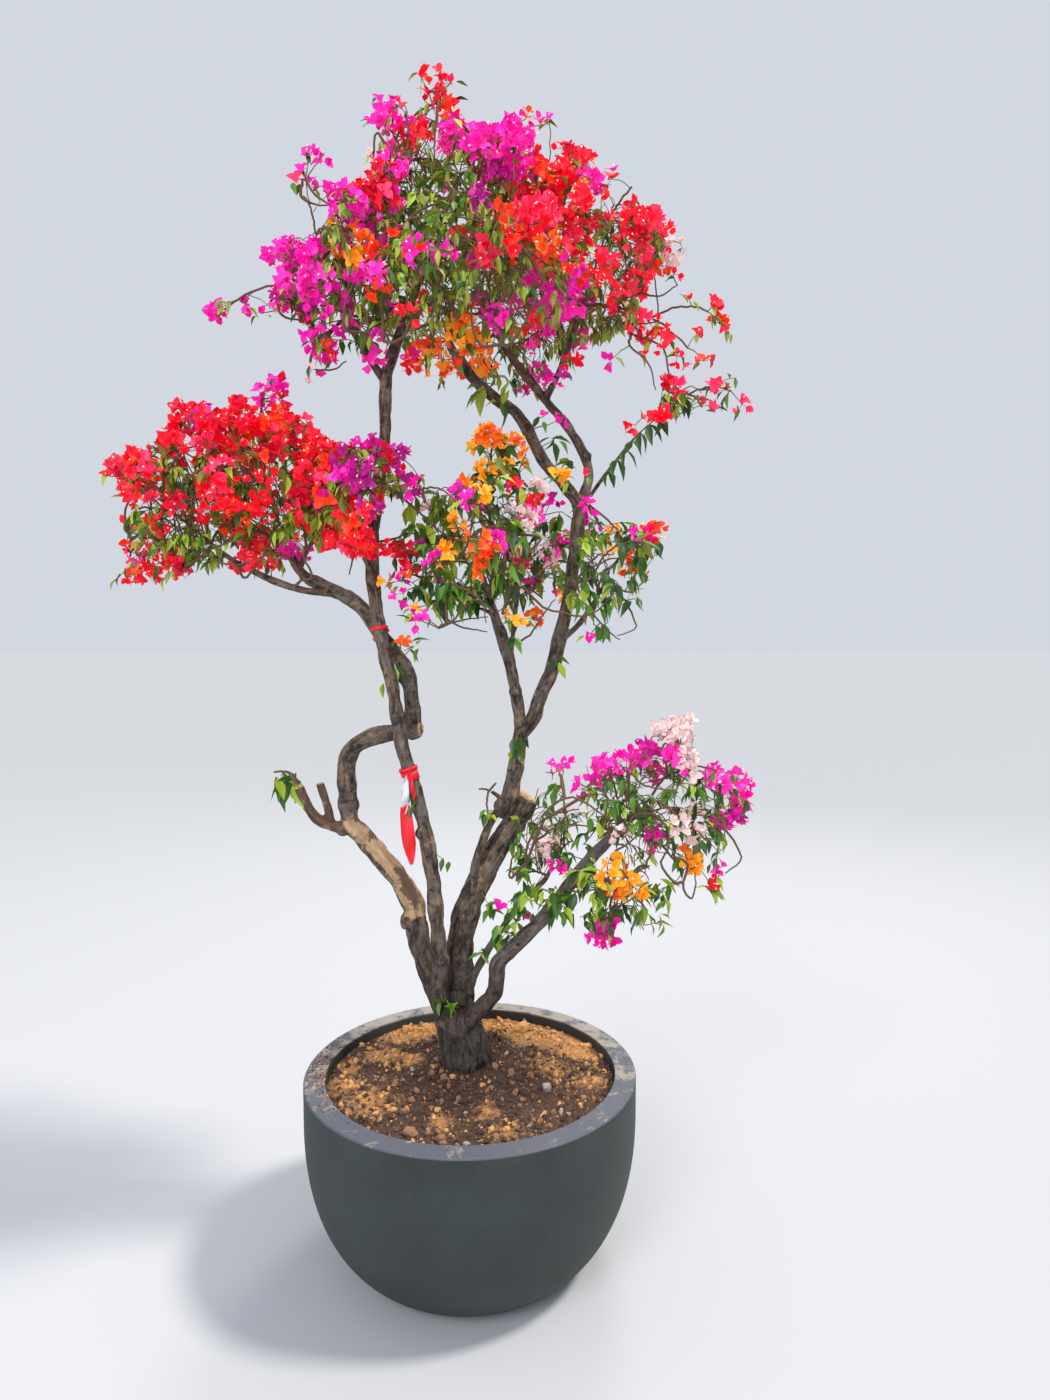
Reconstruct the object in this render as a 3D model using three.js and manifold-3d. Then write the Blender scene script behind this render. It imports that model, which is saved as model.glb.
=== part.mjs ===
// Bougainvillea bush in a bowl planter, at its real size in millimetres, with +Z up.
// The origin is the centre of the planter's flat underside. -Y is the front, and the low bough points to +X.
import * as THREE from "three";
import { mergeVertices } from "three/addons/utils/BufferGeometryUtils.js";
import Module from "manifold-3d";

const wasm = await Module();
wasm.setup();

// Space kept between two pieces that meet
const GAP = 0.3;

// Planter: a round bowl with a folded rim
const BOWL_RADIUS = 450;
const BOWL_HEIGHT = 506;
const FOOT_RADIUS = 246;
const SHOULDER_HEIGHT = 412;
const RIM_WIDTH = 56;
const RIM_DEPTH = 60;
const RIM_BEVEL = 4;
const WALL = 24;
const FLOOR = 30;
const BOWL_SIDES = 32;
const BOWL_CURVE = { rise: 2.36, bulge: 1.68 };
const OUTSIDE_RINGS = [40, 110, 210, 320];
const INSIDE_RINGS = [280, 130];

// Soil: level round the rim and heaped up under the trunk
const SOIL_EDGE_HEIGHT = 476;
const SOIL_TOP_HEIGHT = 496;
const HEAP_FLAT_RADIUS = 165;
const HEAP_RADIUS = 330;
const SOIL_RINGS = [330, 250, 165, 80];

// Trunk: a short stump, leaning left, that parts into five boughs. Its way-points give heights above the
// soil, start just below it, and close the trunk over between the boughs
const TRUNK_FOOT = [-14, 46];
const TRUNK_POINTS = [[-10, 43, -30], [-20, 50, 42], [-34, 56, 92], [-46, 62, 138], [-50, 64, 158]];
const TRUNK_RADII = [75, 66, 65, 61, 36];
const TRUNK_SIDES = 14;
const LIMB_SIDES = 8;
const BOUGH_SIDES = 6;

// Foliage: sizes of a leaf, of a whorl of coloured bracts, and of a twig
const LEAF = { length: 110, width: 60, thick: 4 };
const LEAF_WIDEST = 0.4;
const BRACTS = { count: 3, length: 98, notch: 57, lift: 40, notchLift: 13, thick: 4 };
const TWIG_TIP_RADIUS = 2.6;
const TWIG_ROOT_RADIUS = 3.1;
const GOLDEN_ANGLE = Math.PI * (3 - Math.sqrt(5));

// A mass's stem: how far it starts inside its limb's tip, its size there, its taper, its bend and its forks
const STEM_SINK = 4;
const STEM_SHARE = 0.92;
const STEM_TAPER = 0.5;
const STEM_BEND = 0.3;
const STEM_FORKS = [0.34, 0.67, 1];

// Its twigs: where in a lobe their tips lie, how they arch and sway, and what a longer way round costs them
const TIP_DEPTH = { least: 0.66, spread: 0.3 };
const TWIG_TAPER = 0.6;
const TWIG_ARCH = 0.24;
const TWIG_SWAY = 0.2;
const ATTACH_BIAS = 0.35;
const FORK_AT = 0.5;
const TWIG_CHECKS = [0.25, 0.5, 0.75, 1];

// Its leaves' roots along a twig's outer half, their droop, and how bloom grows towards the top of a lobe
const LEAF_ROOTS = { first: 0.5, spread: 0.3 };
const LEAF_DROOP = { least: 0.35, spread: 0.6 };
const BLOOM_BY_HEIGHT = { level: 0.75, rise: 0.35 };
const ROOT_SINK = 1;
const LEAF_SEED = 1000;

// Its own space: the width kept for the stem and the shoots, its edge, and what it leaves free round others
const STEM_SPACE = 60;
const SHOOT_SPACE = 120;
const CELL_EDGE = 1.06;
const CELL_MARGIN = 0.05;
const LIMB_CLEARANCE = 5;

const BARK = { color: 0x5f5041, roughness: 0.92, metalness: 0 };
const CONCRETE = { color: 0x373e3e, roughness: 0.7, metalness: 0 };
const EARTH = { color: 0x4b3228, roughness: 1, metalness: 0 };
const SCARLET = { color: 0xff1432, roughness: 0.6, metalness: 0 };
const MAGENTA = { color: 0xf014b4, roughness: 0.6, metalness: 0 };
const AMBER = { color: 0xffa014, roughness: 0.6, metalness: 0 };
const PALE = { color: 0xfacdcd, roughness: 0.6, metalness: 0 };
const LEAF_GREEN = { color: 0x3c6e1e, roughness: 0.6, metalness: 0 };

// Limbs: each names what carries it, its way-points from root to tip, and its radius along them
const LIMBS = [
  {
    name: "bough_right_lower",
    from: "trunk",
    points: [[-34, 84, 585], [-38, 118, 748], [-33, 130, 847], [-10, 138, 926], [47, 148, 1046],
      [110, 150, 1148], [165, 150, 1235]],
    radii: [41, 40, 37, 34],
  },
  {
    name: "bough_middle",
    from: "trunk",
    points: [[-72, 50, 585], [-88, 40, 680], [-87, 26, 770], [-94, 10, 925], [-113, 0, 1104],
      [-144, 0, 1249], [-182, 0, 1390], [-204, 2, 1531], [-233, 18, 1651], [-258, 34, 1792],
      [-265, 40, 1947], [-242, 40, 2107], [-227, 40, 2240], [-222, 42, 2385], [-196, 62, 2480]],
    radii: [24, 22, 20, 19, 16],
  },
  {
    name: "bough_left_lower",
    from: "trunk",
    points: [[-62, 74, 592], [-122, 92, 730], [-156, 104, 836], [-171, 112, 926], [-206, 120, 990],
      [-302, 120, 1111], [-345, 120, 1160], [-354, 120, 1228]],
    radii: [31, 33, 30, 26],
  },
  {
    name: "bough_left_hook",
    from: "bough_left_lower",
    points: [[-354, 120, 1224], [-356, 115, 1330], [-330, 110, 1381], [-256, 100, 1414], [-136, 84, 1432]],
    radii: [26, 25, 24],
  },
  {
    name: "bough_left_upper",
    from: "bough_left_hook",
    points: [[-163, 90, 1424], [-168, 92, 1512], [-182, 88, 1592], [-252, 80, 1696], [-317, 74, 1780],
      [-385, 62, 1817], [-436, 52, 1841]],
    radii: [24, 22, 19],
  },
  {
    name: "stub_left_outer",
    from: "bough_left_lower",
    points: [[-335, 120, 1136], [-403, 104, 1159], [-436, 94, 1177], [-460, 86, 1210], [-483, 80, 1269]],
    radii: [18, 15],
  },
  {
    name: "stub_left_inner",
    from: "stub_left_outer",
    points: [[-398, 104, 1160], [-414, 96, 1231], [-427, 94, 1279]],
    radii: [13, 12],
  },
  {
    name: "bough_low_right",
    from: "trunk",
    points: [[-36, 42, 606], [2, 22, 638], [37, 0, 681], [64, -12, 718], [72, -22, 762], [75, -30, 806],
      [98, -32, 834], [174, -30, 907], [234, -30, 978], [318, -12, 1082], [380, 10, 1138]],
    radii: [26, 24, 22, 16],
  },
  {
    name: "bough_low_thin",
    from: "trunk",
    points: [[-30, 66, 612], [4, 76, 731], [29, 84, 779], [71, 96, 845], [131, 102, 926], [204, 100, 1001]],
    radii: [13, 11, 9],
  },
  {
    name: "bough_right_side",
    from: "bough_right_lower",
    points: [[0, 118, 950], [6, 100, 1040], [43, 98, 1147], [80, 112, 1216]],
    radii: [13, 12],
  },
  {
    name: "bough_right_leader",
    from: "bough_right_lower",
    points: [[96, 152, 1165], [107, 158, 1245], [119, 160, 1300], [129, 160, 1378], [139, 162, 1424]],
    radii: [28, 22],
  },
  {
    name: "bough_right_upper",
    from: "bough_right_leader",
    points: [[140, 164, 1416], [171, 178, 1452], [191, 190, 1514], [222, 200, 1582], [250, 200, 1690],
      [272, 200, 1794], [289, 200, 1909], [299, 200, 2000], [305, 200, 2079]],
    radii: [23, 22, 21, 20],
  },
  {
    name: "bough_centre",
    from: "bough_right_leader",
    points: [[138, 160, 1416], [128, 158, 1484], [114, 140, 1568], [100, 120, 1634], [78, 102, 1703]],
    radii: [19, 17],
  },
  {
    name: "crown_bough_front",
    from: "bough_right_upper",
    points: [[304, 199, 2066], [253, 190, 2128], [204, 180, 2180], [130, 152, 2304], [70, 135, 2345],
      [14, 112, 2386], [-44, 60, 2450]],
    radii: [19, 15],
  },
  {
    name: "crown_bough_back",
    from: "bough_right_upper",
    points: [[306, 201, 2066], [332, 220, 2151], [321, 230, 2206], [272, 240, 2294], [206, 250, 2374],
      [104, 270, 2508]],
    radii: [16, 13],
  },
  {
    name: "crown_bough_left",
    from: "bough_middle",
    sides: BOUGH_SIDES,
    points: [[-222, 42, 2360], [-268, 30, 2430], [-318, 26, 2510]],
    radii: [12, 9],
  },
  {
    name: "crown_bough_right",
    from: "crown_bough_back",
    sides: BOUGH_SIDES,
    points: [[206, 249, 2372], [258, 220, 2474], [300, 190, 2590]],
    radii: [11, 9],
  },
  {
    name: "left_bough_outer",
    from: "bough_left_upper",
    sides: BOUGH_SIDES,
    points: [[-378, 56, 1806], [-440, 12, 1810], [-530, 8, 1838], [-622, 18, 1884]],
    radii: [12, 9],
  },
  {
    name: "left_bough_inner",
    from: "bough_middle",
    sides: BOUGH_SIDES,
    points: [[-262, 36, 1850], [-278, -20, 1905], [-284, -64, 1970]],
    radii: [10, 8],
  },
  {
    name: "centre_bough_right",
    from: "bough_right_upper",
    sides: BOUGH_SIDES,
    points: [[246, 200, 1672], [300, 170, 1722], [346, 150, 1790]],
    radii: [10, 8],
  },
  {
    name: "centre_bough_back",
    from: "bough_centre",
    sides: BOUGH_SIDES,
    points: [[104, 124, 1612], [112, 200, 1690], [120, 270, 1776]],
    radii: [10, 8],
  },
  {
    name: "low_bough_front",
    from: "bough_low_right",
    sides: BOUGH_SIDES,
    points: [[300, -18, 1060], [350, -70, 1050], [392, -116, 1040]],
    radii: [10, 8],
  },
  {
    name: "shoot_right",
    from: "bough_right_upper",
    sides: BOUGH_SIDES,
    points: [[304, 198, 2044], [364, 168, 2130], [440, 138, 2225]],
    radii: [7, 5],
  },
];

// Foliage masses: the limb each grows from, the seed of its twigs, where its stem ends, its rounded lobes
// (centre, half sizes, how many twigs reach into each), its long shoots' tips, and how much is in flower
const MASSES = [
  {
    name: "crown_left",
    from: "crown_bough_left",
    seed: 11,
    heart: [-350, 10, 2590],
    lobes: [{ centre: [-330, 10, 2640], half: [215, 270, 235], twigs: 15 }],
    shoots: [[-440, 40, 2860], [-650, 40, 2555], [-438, -20, 2400]],
    flower: MAGENTA,
    bloom: 0.7,
  },
  {
    name: "crown_top",
    from: "bough_middle",
    seed: 12,
    heart: [-110, 80, 2700],
    lobes: [{ centre: [-50, 80, 2850], half: [270, 300, 225], twigs: 20 }],
    shoots: [[-90, 90, 3110], [-225, 80, 3050], [60, 110, 3040]],
    flower: MAGENTA,
    bloom: 0.9,
  },
  {
    name: "crown_right",
    from: "crown_bough_right",
    seed: 13,
    heart: [340, 170, 2690],
    lobes: [{ centre: [345, 150, 2720], half: [265, 320, 275], twigs: 20 }],
    shoots: [[640, 70, 2560], [590, 90, 2470], [560, 90, 2790]],
    flower: SCARLET,
    bloom: 0.9,
  },
  {
    name: "crown_front",
    from: "crown_bough_front",
    seed: 14,
    heart: [-50, -60, 2520],
    lobes: [{ centre: [-10, -150, 2570], half: [300, 230, 170], twigs: 11 }],
    shoots: [],
    flower: AMBER,
    bloom: 0.6,
  },
  {
    name: "crown_back",
    from: "crown_bough_back",
    seed: 15,
    heart: [60, 400, 2620],
    lobes: [{ centre: [40, 450, 2670], half: [330, 230, 240], twigs: 12 }],
    shoots: [],
    flower: SCARLET,
    bloom: 0.8,
  },
  {
    name: "left_outer",
    from: "left_bough_outer",
    seed: 21,
    heart: [-740, 10, 1980],
    lobes: [{ centre: [-790, 20, 2040], half: [190, 220, 190], twigs: 12 }],
    shoots: [[-940, 40, 2110], [-900, 0, 1880], [-760, 30, 2270]],
    flower: SCARLET,
    bloom: 0.85,
  },
  {
    name: "left_middle",
    from: "bough_left_upper",
    seed: 22,
    heart: [-520, 60, 1990],
    lobes: [{ centre: [-515, 60, 2080], half: [215, 270, 220], twigs: 15 }],
    shoots: [[-560, 40, 2330]],
    flower: SCARLET,
    bloom: 0.9,
  },
  {
    name: "left_inner",
    from: "left_bough_inner",
    seed: 23,
    heart: [-280, -100, 2040],
    lobes: [{ centre: [-262, -120, 2070], half: [130, 120, 165], twigs: 8 }],
    shoots: [],
    flower: MAGENTA,
    bloom: 0.9,
  },
  {
    name: "centre_left",
    from: "bough_centre",
    seed: 31,
    heart: [30, 40, 1860],
    lobes: [{ centre: [0, 0, 1965], half: [200, 220, 235], twigs: 12 }],
    shoots: [[60, 40, 2200]],
    flower: AMBER,
    bloom: 0.65,
  },
  {
    name: "centre_right",
    from: "centre_bough_right",
    seed: 32,
    heart: [390, 140, 1880],
    lobes: [{ centre: [385, 130, 1890], half: [140, 220, 210], twigs: 7 }],
    shoots: [[490, 90, 1950]],
    flower: AMBER,
    bloom: 0.5,
  },
  {
    name: "centre_back",
    from: "centre_bough_back",
    seed: 33,
    heart: [130, 340, 1880],
    lobes: [{ centre: [120, 380, 1930], half: [210, 160, 210], twigs: 6 }],
    shoots: [],
    flower: MAGENTA,
    bloom: 0.6,
  },
  {
    name: "low_right_outer",
    from: "bough_low_right",
    seed: 41,
    heart: [470, 20, 1220],
    lobes: [{ centre: [500, 20, 1220], half: [250, 250, 190], twigs: 14 }],
    shoots: [[545, 20, 1420], [710, 20, 1260]],
    flower: MAGENTA,
    bloom: 0.7,
  },
  {
    name: "low_right_front",
    from: "low_bough_front",
    seed: 42,
    heart: [410, -140, 1020],
    lobes: [{ centre: [400, -160, 1020], half: [130, 110, 130], twigs: 5 }],
    shoots: [],
    flower: AMBER,
    bloom: 0.7,
  },
  {
    name: "low_right_inner",
    from: "bough_low_thin",
    seed: 43,
    heart: [230, 110, 1060],
    lobes: [{ centre: [200, 120, 1120], half: [120, 130, 170], twigs: 5 }],
    shoots: [],
    flower: PALE,
    bloom: 0.3,
  },
  {
    name: "shoot",
    from: "shoot_right",
    seed: 51,
    heart: [590, 85, 2345],
    lobes: [{ centre: [600, 90, 2310], half: [110, 90, 70], twigs: 4 }],
    shoots: [[700, 50, 2345]],
    flower: SCARLET,
    bloom: 0.4,
  },
  {
    name: "stub",
    from: "stub_left_outer",
    seed: 52,
    heart: [-505, 70, 1310],
    lobes: [{ centre: [-530, 65, 1270], half: [80, 80, 70], twigs: 4 }],
    shoots: [],
    flower: LEAF_GREEN,
    bloom: 0,
  },
  {
    name: "side",
    from: "bough_right_side",
    seed: 53,
    heart: [50, 60, 1262],
    lobes: [{ centre: [30, 50, 1250], half: [80, 80, 70], twigs: 3 }],
    shoots: [],
    flower: LEAF_GREEN,
    bloom: 0,
  },
];

const vector = (point) => new THREE.Vector3(...point);

// Park and Miller's generator, so that every twig comes out the same on each run
function seeded(seed) {
  let state = seed;
  return () => {
    state = (state * 16807) % 2147483647;
    return state / 2147483647;
  };
}

// The value of a list of evenly spaced values at a share of its length
function along(values, share) {
  const place = share * (values.length - 1);
  const first = Math.min(Math.floor(place), values.length - 2);
  return THREE.MathUtils.lerp(values[first], values[first + 1], place - first);
}

function solidOf(geometry) {
  geometry.deleteAttribute("normal");
  geometry.deleteAttribute("uv");
  const merged = mergeVertices(geometry);
  const vertProperties = new Float32Array(merged.attributes.position.array);
  const triVerts = new Uint32Array(merged.index.array);
  return new wasm.Manifold(new wasm.Mesh({ numProp: 3, vertProperties, triVerts }));
}

function geometryOf(solid) {
  const mesh = solid.getMesh();
  const geometry = new THREE.BufferGeometry();
  geometry.setAttribute("position", new THREE.BufferAttribute(new Float32Array(mesh.vertProperties), 3));
  geometry.setIndex(new THREE.BufferAttribute(new Uint32Array(mesh.triVerts), 1));
  geometry.computeVertexNormals();
  return geometry;
}

// Points and right-handed frames along a curve, one for each ring of a tube
function ringFrames(curve, steps) {
  const frames = [];
  const side = new THREE.Vector3(0, 1, 0);
  for (let i = 0; i <= steps; i++) {
    const point = curve.getPoint(i / steps);
    const forward = curve.getTangent(i / steps).normalize();
    side.addScaledVector(forward, -side.dot(forward)).normalize();
    const up = new THREE.Vector3().crossVectors(forward, side);
    frames.push({ point, forward, side: side.clone(), up });
  }
  return frames;
}

// A closed cylinder bent along a curve, with its own radius at each ring and its ends made longer by extra
function bentTube(curve, radiusAt, sides, steps, extra = 0) {
  const geometry = new THREE.CylinderGeometry(1, 1, 1, sides, steps);
  return solidOf(bend(geometry, curve, radiusAt, steps, extra));
}

// Lays an upright round geometry along a curve, ring by ring, and makes its ends longer by extra
function bend(geometry, curve, radiusAt, steps, extra) {
  const frames = ringFrames(curve, steps);
  frames[0].point.addScaledVector(frames[0].forward, -extra);
  frames[steps].point.addScaledVector(frames[steps].forward, extra);
  const corner = geometry.attributes.position;
  for (let i = 0; i < corner.count; i++) {
    const ring = Math.round((corner.getY(i) + 0.5) * steps);
    const { point, side, up } = frames[ring];
    const radius = radiusAt(ring / steps);
    const [x, z] = [corner.getX(i), corner.getZ(i)];
    const around = Math.hypot(x, z) > 1e-6 ? radius / Math.hypot(x, z) : 0;
    const place = point.clone().addScaledVector(up, x * around).addScaledVector(side, z * around);
    corner.setXYZ(i, place.x, place.y, place.z);
  }
  return geometry;
}

// A folded pointed leaf along a direction: its keel runs from root to tip, and its two edges rise
function leafGeometry(root, forward, normal, size) {
  const side = new THREE.Vector3().crossVectors(normal, forward).normalize();
  const face = new THREE.Vector3().crossVectors(forward, side);
  const geometry = new THREE.TetrahedronGeometry(1);
  const corner = geometry.attributes.position;
  for (let i = 0; i < corner.count; i++) {
    const edge = corner.getZ(i) > 0;
    const reach = edge ? LEAF_WIDEST : corner.getX(i) > 0 ? 1 : 0;
    const place = root.clone().addScaledVector(forward, reach * size.length);
    if (edge) {
      place.addScaledVector(side, (Math.sign(corner.getX(i)) * size.width) / 2);
      place.addScaledVector(face, size.thick);
    }
    corner.setXYZ(i, place.x, place.y, place.z);
  }
  return geometry;
}

// Radius of the bowl's outside at a height, with the whole curve drawn in by a wall
function bowlRadius(height, inset) {
  const rise = Math.min(height / SHOULDER_HEIGHT, 1);
  const bulge = Math.pow(1 - Math.pow(1 - rise, BOWL_CURVE.rise), 1 / BOWL_CURVE.bulge);
  return FOOT_RADIUS + (BOWL_RADIUS - FOOT_RADIUS) * bulge - inset;
}

// The inside of the bowl from its rim to the middle of its floor, drawn in by a clearance
function bowlInside(top, clearance) {
  const mouth = BOWL_RADIUS - RIM_WIDTH - clearance;
  const lip = BOWL_HEIGHT - RIM_DEPTH - clearance;
  const profile = [new THREE.Vector2(mouth, top), new THREE.Vector2(mouth, lip)];
  for (const height of [lip, ...INSIDE_RINGS, FLOOR + clearance]) {
    profile.push(new THREE.Vector2(bowlRadius(height, WALL + clearance), height));
  }
  profile.push(new THREE.Vector2(0, FLOOR + clearance));
  return profile;
}

function planterSolid() {
  const profile = [new THREE.Vector2(0, 0), new THREE.Vector2(FOOT_RADIUS - RIM_BEVEL, 0)];
  for (const height of [RIM_BEVEL, ...OUTSIDE_RINGS, SHOULDER_HEIGHT]) {
    profile.push(new THREE.Vector2(bowlRadius(height, 0), height));
  }
  profile.push(new THREE.Vector2(BOWL_RADIUS, BOWL_HEIGHT - RIM_BEVEL));
  profile.push(new THREE.Vector2(BOWL_RADIUS - RIM_BEVEL, BOWL_HEIGHT));
  profile.push(...bowlInside(BOWL_HEIGHT, 0));
  const geometry = new THREE.LatheGeometry(profile, BOWL_SIDES);
  geometry.rotateX(Math.PI / 2);
  return solidOf(geometry);
}

// Height of the soil: flat under the trunk, then falling to its level at the rim
function soilHeight(x, y) {
  const away = Math.hypot(x - TRUNK_FOOT[0], y - TRUNK_FOOT[1]);
  const fall = THREE.MathUtils.smoothstep(away, HEAP_FLAT_RADIUS, HEAP_RADIUS);
  return THREE.MathUtils.lerp(SOIL_TOP_HEIGHT, SOIL_EDGE_HEIGHT, fall);
}

function soilSolid() {
  const profile = bowlInside(SOIL_EDGE_HEIGHT, GAP).reverse();
  for (const radius of SOIL_RINGS) profile.push(new THREE.Vector2(radius, SOIL_TOP_HEIGHT));
  profile.push(new THREE.Vector2(0, SOIL_TOP_HEIGHT));
  const geometry = new THREE.LatheGeometry(profile, BOWL_SIDES);
  geometry.rotateX(Math.PI / 2);
  const corner = geometry.attributes.position;
  for (let i = 0; i < corner.count; i++) {
    if (corner.getZ(i) < SOIL_TOP_HEIGHT - 1) continue;
    corner.setZ(i, soilHeight(corner.getX(i), corner.getY(i)));
  }
  return solidOf(geometry);
}

// A block that cuts the trunk's foot flat, just clear of the soil
function belowSoil() {
  const depth = 100;
  const block = new THREE.BoxGeometry(BOWL_RADIUS, BOWL_RADIUS, depth);
  block.translate(0, 0, SOIL_TOP_HEIGHT + GAP - depth / 2);
  return solidOf(block);
}

function trunkLimb() {
  const points = TRUNK_POINTS.map(([x, y, rise]) => [x, y, SOIL_TOP_HEIGHT + rise]);
  return { name: "trunk", points, radii: TRUNK_RADII, sides: TRUNK_SIDES };
}

// Adds what the limb's curve gives: the curve itself, its radius along it and its number of rings
function limbCurve(limb) {
  const curve = new THREE.CatmullRomCurve3(limb.points.map(vector));
  const steps = Math.max(limb.points.length - 1, 3);
  const radiusAt = (share) => along(limb.radii, share);
  return { ...limb, curve, steps, radiusAt, sides: limb.sides ?? LIMB_SIDES };
}

function limbSolid(limb, clearance = 0) {
  const widen = clearance / Math.cos(Math.PI / limb.sides);
  return bentTube(limb.curve, (share) => limb.radiusAt(share) + widen, limb.sides, limb.steps, clearance);
}

// The largest body of a solid, so that a cut-off scrap or the wall of a sealed hollow is left out
function largestBody(solid) {
  const bodies = solid.decompose();
  return bodies.reduce((best, body) => (body.volume() > best.volume() ? body : best));
}

// Each limb is cut clear of the limbs made before it, which include the one that carries it
function makeLimbs() {
  const limbs = new Map();
  const cutters = [belowSoil()];
  for (const limb of [trunkLimb(), ...LIMBS].map(limbCurve)) {
    const solid = largestBody(limbSolid(limb).subtract(wasm.Manifold.union(cutters)));
    limbs.set(limb.name, { ...limb, solid });
    cutters.push(limbSolid(limb, GAP));
  }
  return { limbs, cutter: wasm.Manifold.union(cutters.slice(1)) };
}

// How far a point lies outside the nearest limb's bark
function limbDistance(limbs, point) {
  let nearest = Infinity;
  for (const limb of limbs.values()) {
    const samples = limb.steps * 3;
    for (let i = 0; i <= samples; i++) {
      const away = point.distanceTo(limb.curve.getPoint(i / samples)) - limb.radiusAt(i / samples);
      nearest = Math.min(nearest, away);
    }
  }
  return nearest;
}

// Distance from a point to a straight line between two others
function lineDistance(point, start, end) {
  const line = new THREE.Line3(start, end);
  return line.closestPointToPoint(point, true, new THREE.Vector3()).distanceTo(point);
}

// How deep a point lies in a mass's own space: under 1 inside a lobe, or near the stem or a shoot
function spaceDepth(mass, point) {
  let depth = lineDistance(point, mass.start, mass.heartPoint) / STEM_SPACE;
  for (const { centre, half } of mass.lobes) {
    const offset = [0, 1, 2].map((i) => (point.getComponent(i) - centre[i]) / half[i]);
    depth = Math.min(depth, Math.hypot(...offset));
  }
  for (const tip of mass.shoots) {
    depth = Math.min(depth, lineDistance(point, mass.heartPoint, vector(tip)) / SHOOT_SPACE);
  }
  return depth;
}

function inOwnSpace(mass, masses, point) {
  const own = spaceDepth(mass, point);
  if (own > CELL_EDGE) return false;
  return masses.every((other) => other === mass || spaceDepth(other, point) > own + CELL_MARGIN);
}

// The tips that a mass's twigs reach for: spread evenly over each lobe, and then one for each shoot
function twigTips(mass, random) {
  const tips = [];
  for (const { centre, half, twigs } of mass.lobes) {
    for (let i = 0; i < twigs; i++) {
      const level = 1 - (2 * (i + 0.5)) / twigs;
      const ring = Math.sqrt(1 - level * level);
      const turn = i * GOLDEN_ANGLE + random();
      const depth = TIP_DEPTH.least + TIP_DEPTH.spread * random();
      const out = [ring * Math.cos(turn), ring * Math.sin(turn), level];
      const point = vector(out.map((c, k) => centre[k] + c * half[k] * depth));
      tips.push({ point, height: level, shoot: false });
    }
  }
  for (const tip of mass.shoots) tips.push({ point: vector(tip), height: 1, shoot: true });
  return tips;
}

// A twig that leaves its node, arches up and comes down to its tip
function twigCurve(start, tip, sway) {
  const length = start.distanceTo(tip);
  const bend = start.clone().lerp(tip, 0.5);
  bend.z += TWIG_ARCH * length;
  bend.x += sway * length * TWIG_SWAY;
  bend.y -= sway * length * TWIG_SWAY;
  return new THREE.QuadraticBezierCurve3(start, bend, tip);
}

// The branching of one mass: a stem from its limb's tip, then twigs, each from the fork that suits it best
function growTwigs(mass, fits) {
  const random = seeded(mass.seed);
  const length = mass.start.distanceTo(mass.heartPoint);
  const bend = mass.start.clone().addScaledVector(mass.heading, length * STEM_BEND);
  const stemCurve = new THREE.QuadraticBezierCurve3(mass.start, bend, mass.heartPoint);
  const stem = { curve: stemCurve, base: mass.stemRadius, end: mass.stemRadius * STEM_TAPER };
  const forks = STEM_FORKS.map((share) => ({
    point: stemCurve.getPoint(share),
    reach: share * length,
    radius: THREE.MathUtils.lerp(stem.base, stem.end, share),
  }));
  const twigs = [];
  const tips = twigTips(mass, random);
  tips.sort((a, b) => a.point.distanceTo(mass.start) - b.point.distanceTo(mass.start));
  for (const tip of tips) {
    const sway = random() - 0.5;
    const cost = (fork) => fork.point.distanceTo(tip.point) + ATTACH_BIAS * fork.reach;
    const best = forks.reduce((least, next) => (cost(next) < cost(least) ? next : least));
    const curve = twigCurve(best.point, tip.point, sway);
    if (!TWIG_CHECKS.map((share) => curve.getPoint(share)).every(fits)) continue;
    const base = Math.max(best.radius * TWIG_TAPER, TWIG_ROOT_RADIUS);
    twigs.push({ ...tip, curve, base, end: TWIG_TIP_RADIUS });
    const reach = best.reach + curve.getLength() * FORK_AT;
    const radius = THREE.MathUtils.lerp(base, TWIG_TIP_RADIUS, FORK_AT);
    forks.push({ point: curve.getPoint(FORK_AT), reach, radius });
  }
  return { stem, twigs };
}

// A whorl of pointed blades round one centre, as a star-shaped solid that is thickest in the middle
function whorl(centre, axis, turn, size) {
  const side = new THREE.Vector3(axis.z, 0.3, -axis.x).cross(axis).normalize();
  const up = new THREE.Vector3().crossVectors(axis, side);
  const geometry = new THREE.ConeGeometry(1, 1, 2 * size.count, 1);
  const corner = geometry.attributes.position;
  for (let i = 0; i < corner.count; i++) {
    const [x, y, z] = [corner.getX(i), corner.getY(i), corner.getZ(i)];
    const place = centre.clone();
    if (Math.hypot(x, z) < 0.5) {
      place.addScaledVector(axis, y > 0 ? size.thick : -size.thick);
    } else {
      const point = Math.round((Math.atan2(z, x) * size.count) / Math.PI + 2 * size.count);
      const [reach, lift] = point % 2 ? [size.notch, size.notchLift] : [size.length, size.lift];
      const angle = turn - (point * Math.PI) / size.count;
      place.addScaledVector(side, reach * Math.cos(angle)).addScaledVector(up, reach * Math.sin(angle));
      place.addScaledVector(axis, lift);
    }
    corner.setXYZ(i, place.x, place.y, place.z);
  }
  return geometry;
}

// A leaf or whorl is kept only where its corners stay in the mass's space and off the limbs
function addWhereItFits(pieces, geometry, fits) {
  const corner = geometry.attributes.position;
  for (let i = 0; i < corner.count; i++) {
    if (!fits(new THREE.Vector3().fromBufferAttribute(corner, i))) return;
  }
  pieces.push(solidOf(geometry));
}

// Three bracts round the twig's end, opening outwards
function addBlossom(pieces, twig, random, fits) {
  const axis = twig.curve.getTangent(1).normalize();
  const centre = twig.curve.getPoint(1).addScaledVector(axis, -ROOT_SINK);
  addWhereItFits(pieces, whorl(centre, axis, random() * Math.PI, BRACTS), fits);
}

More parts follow.
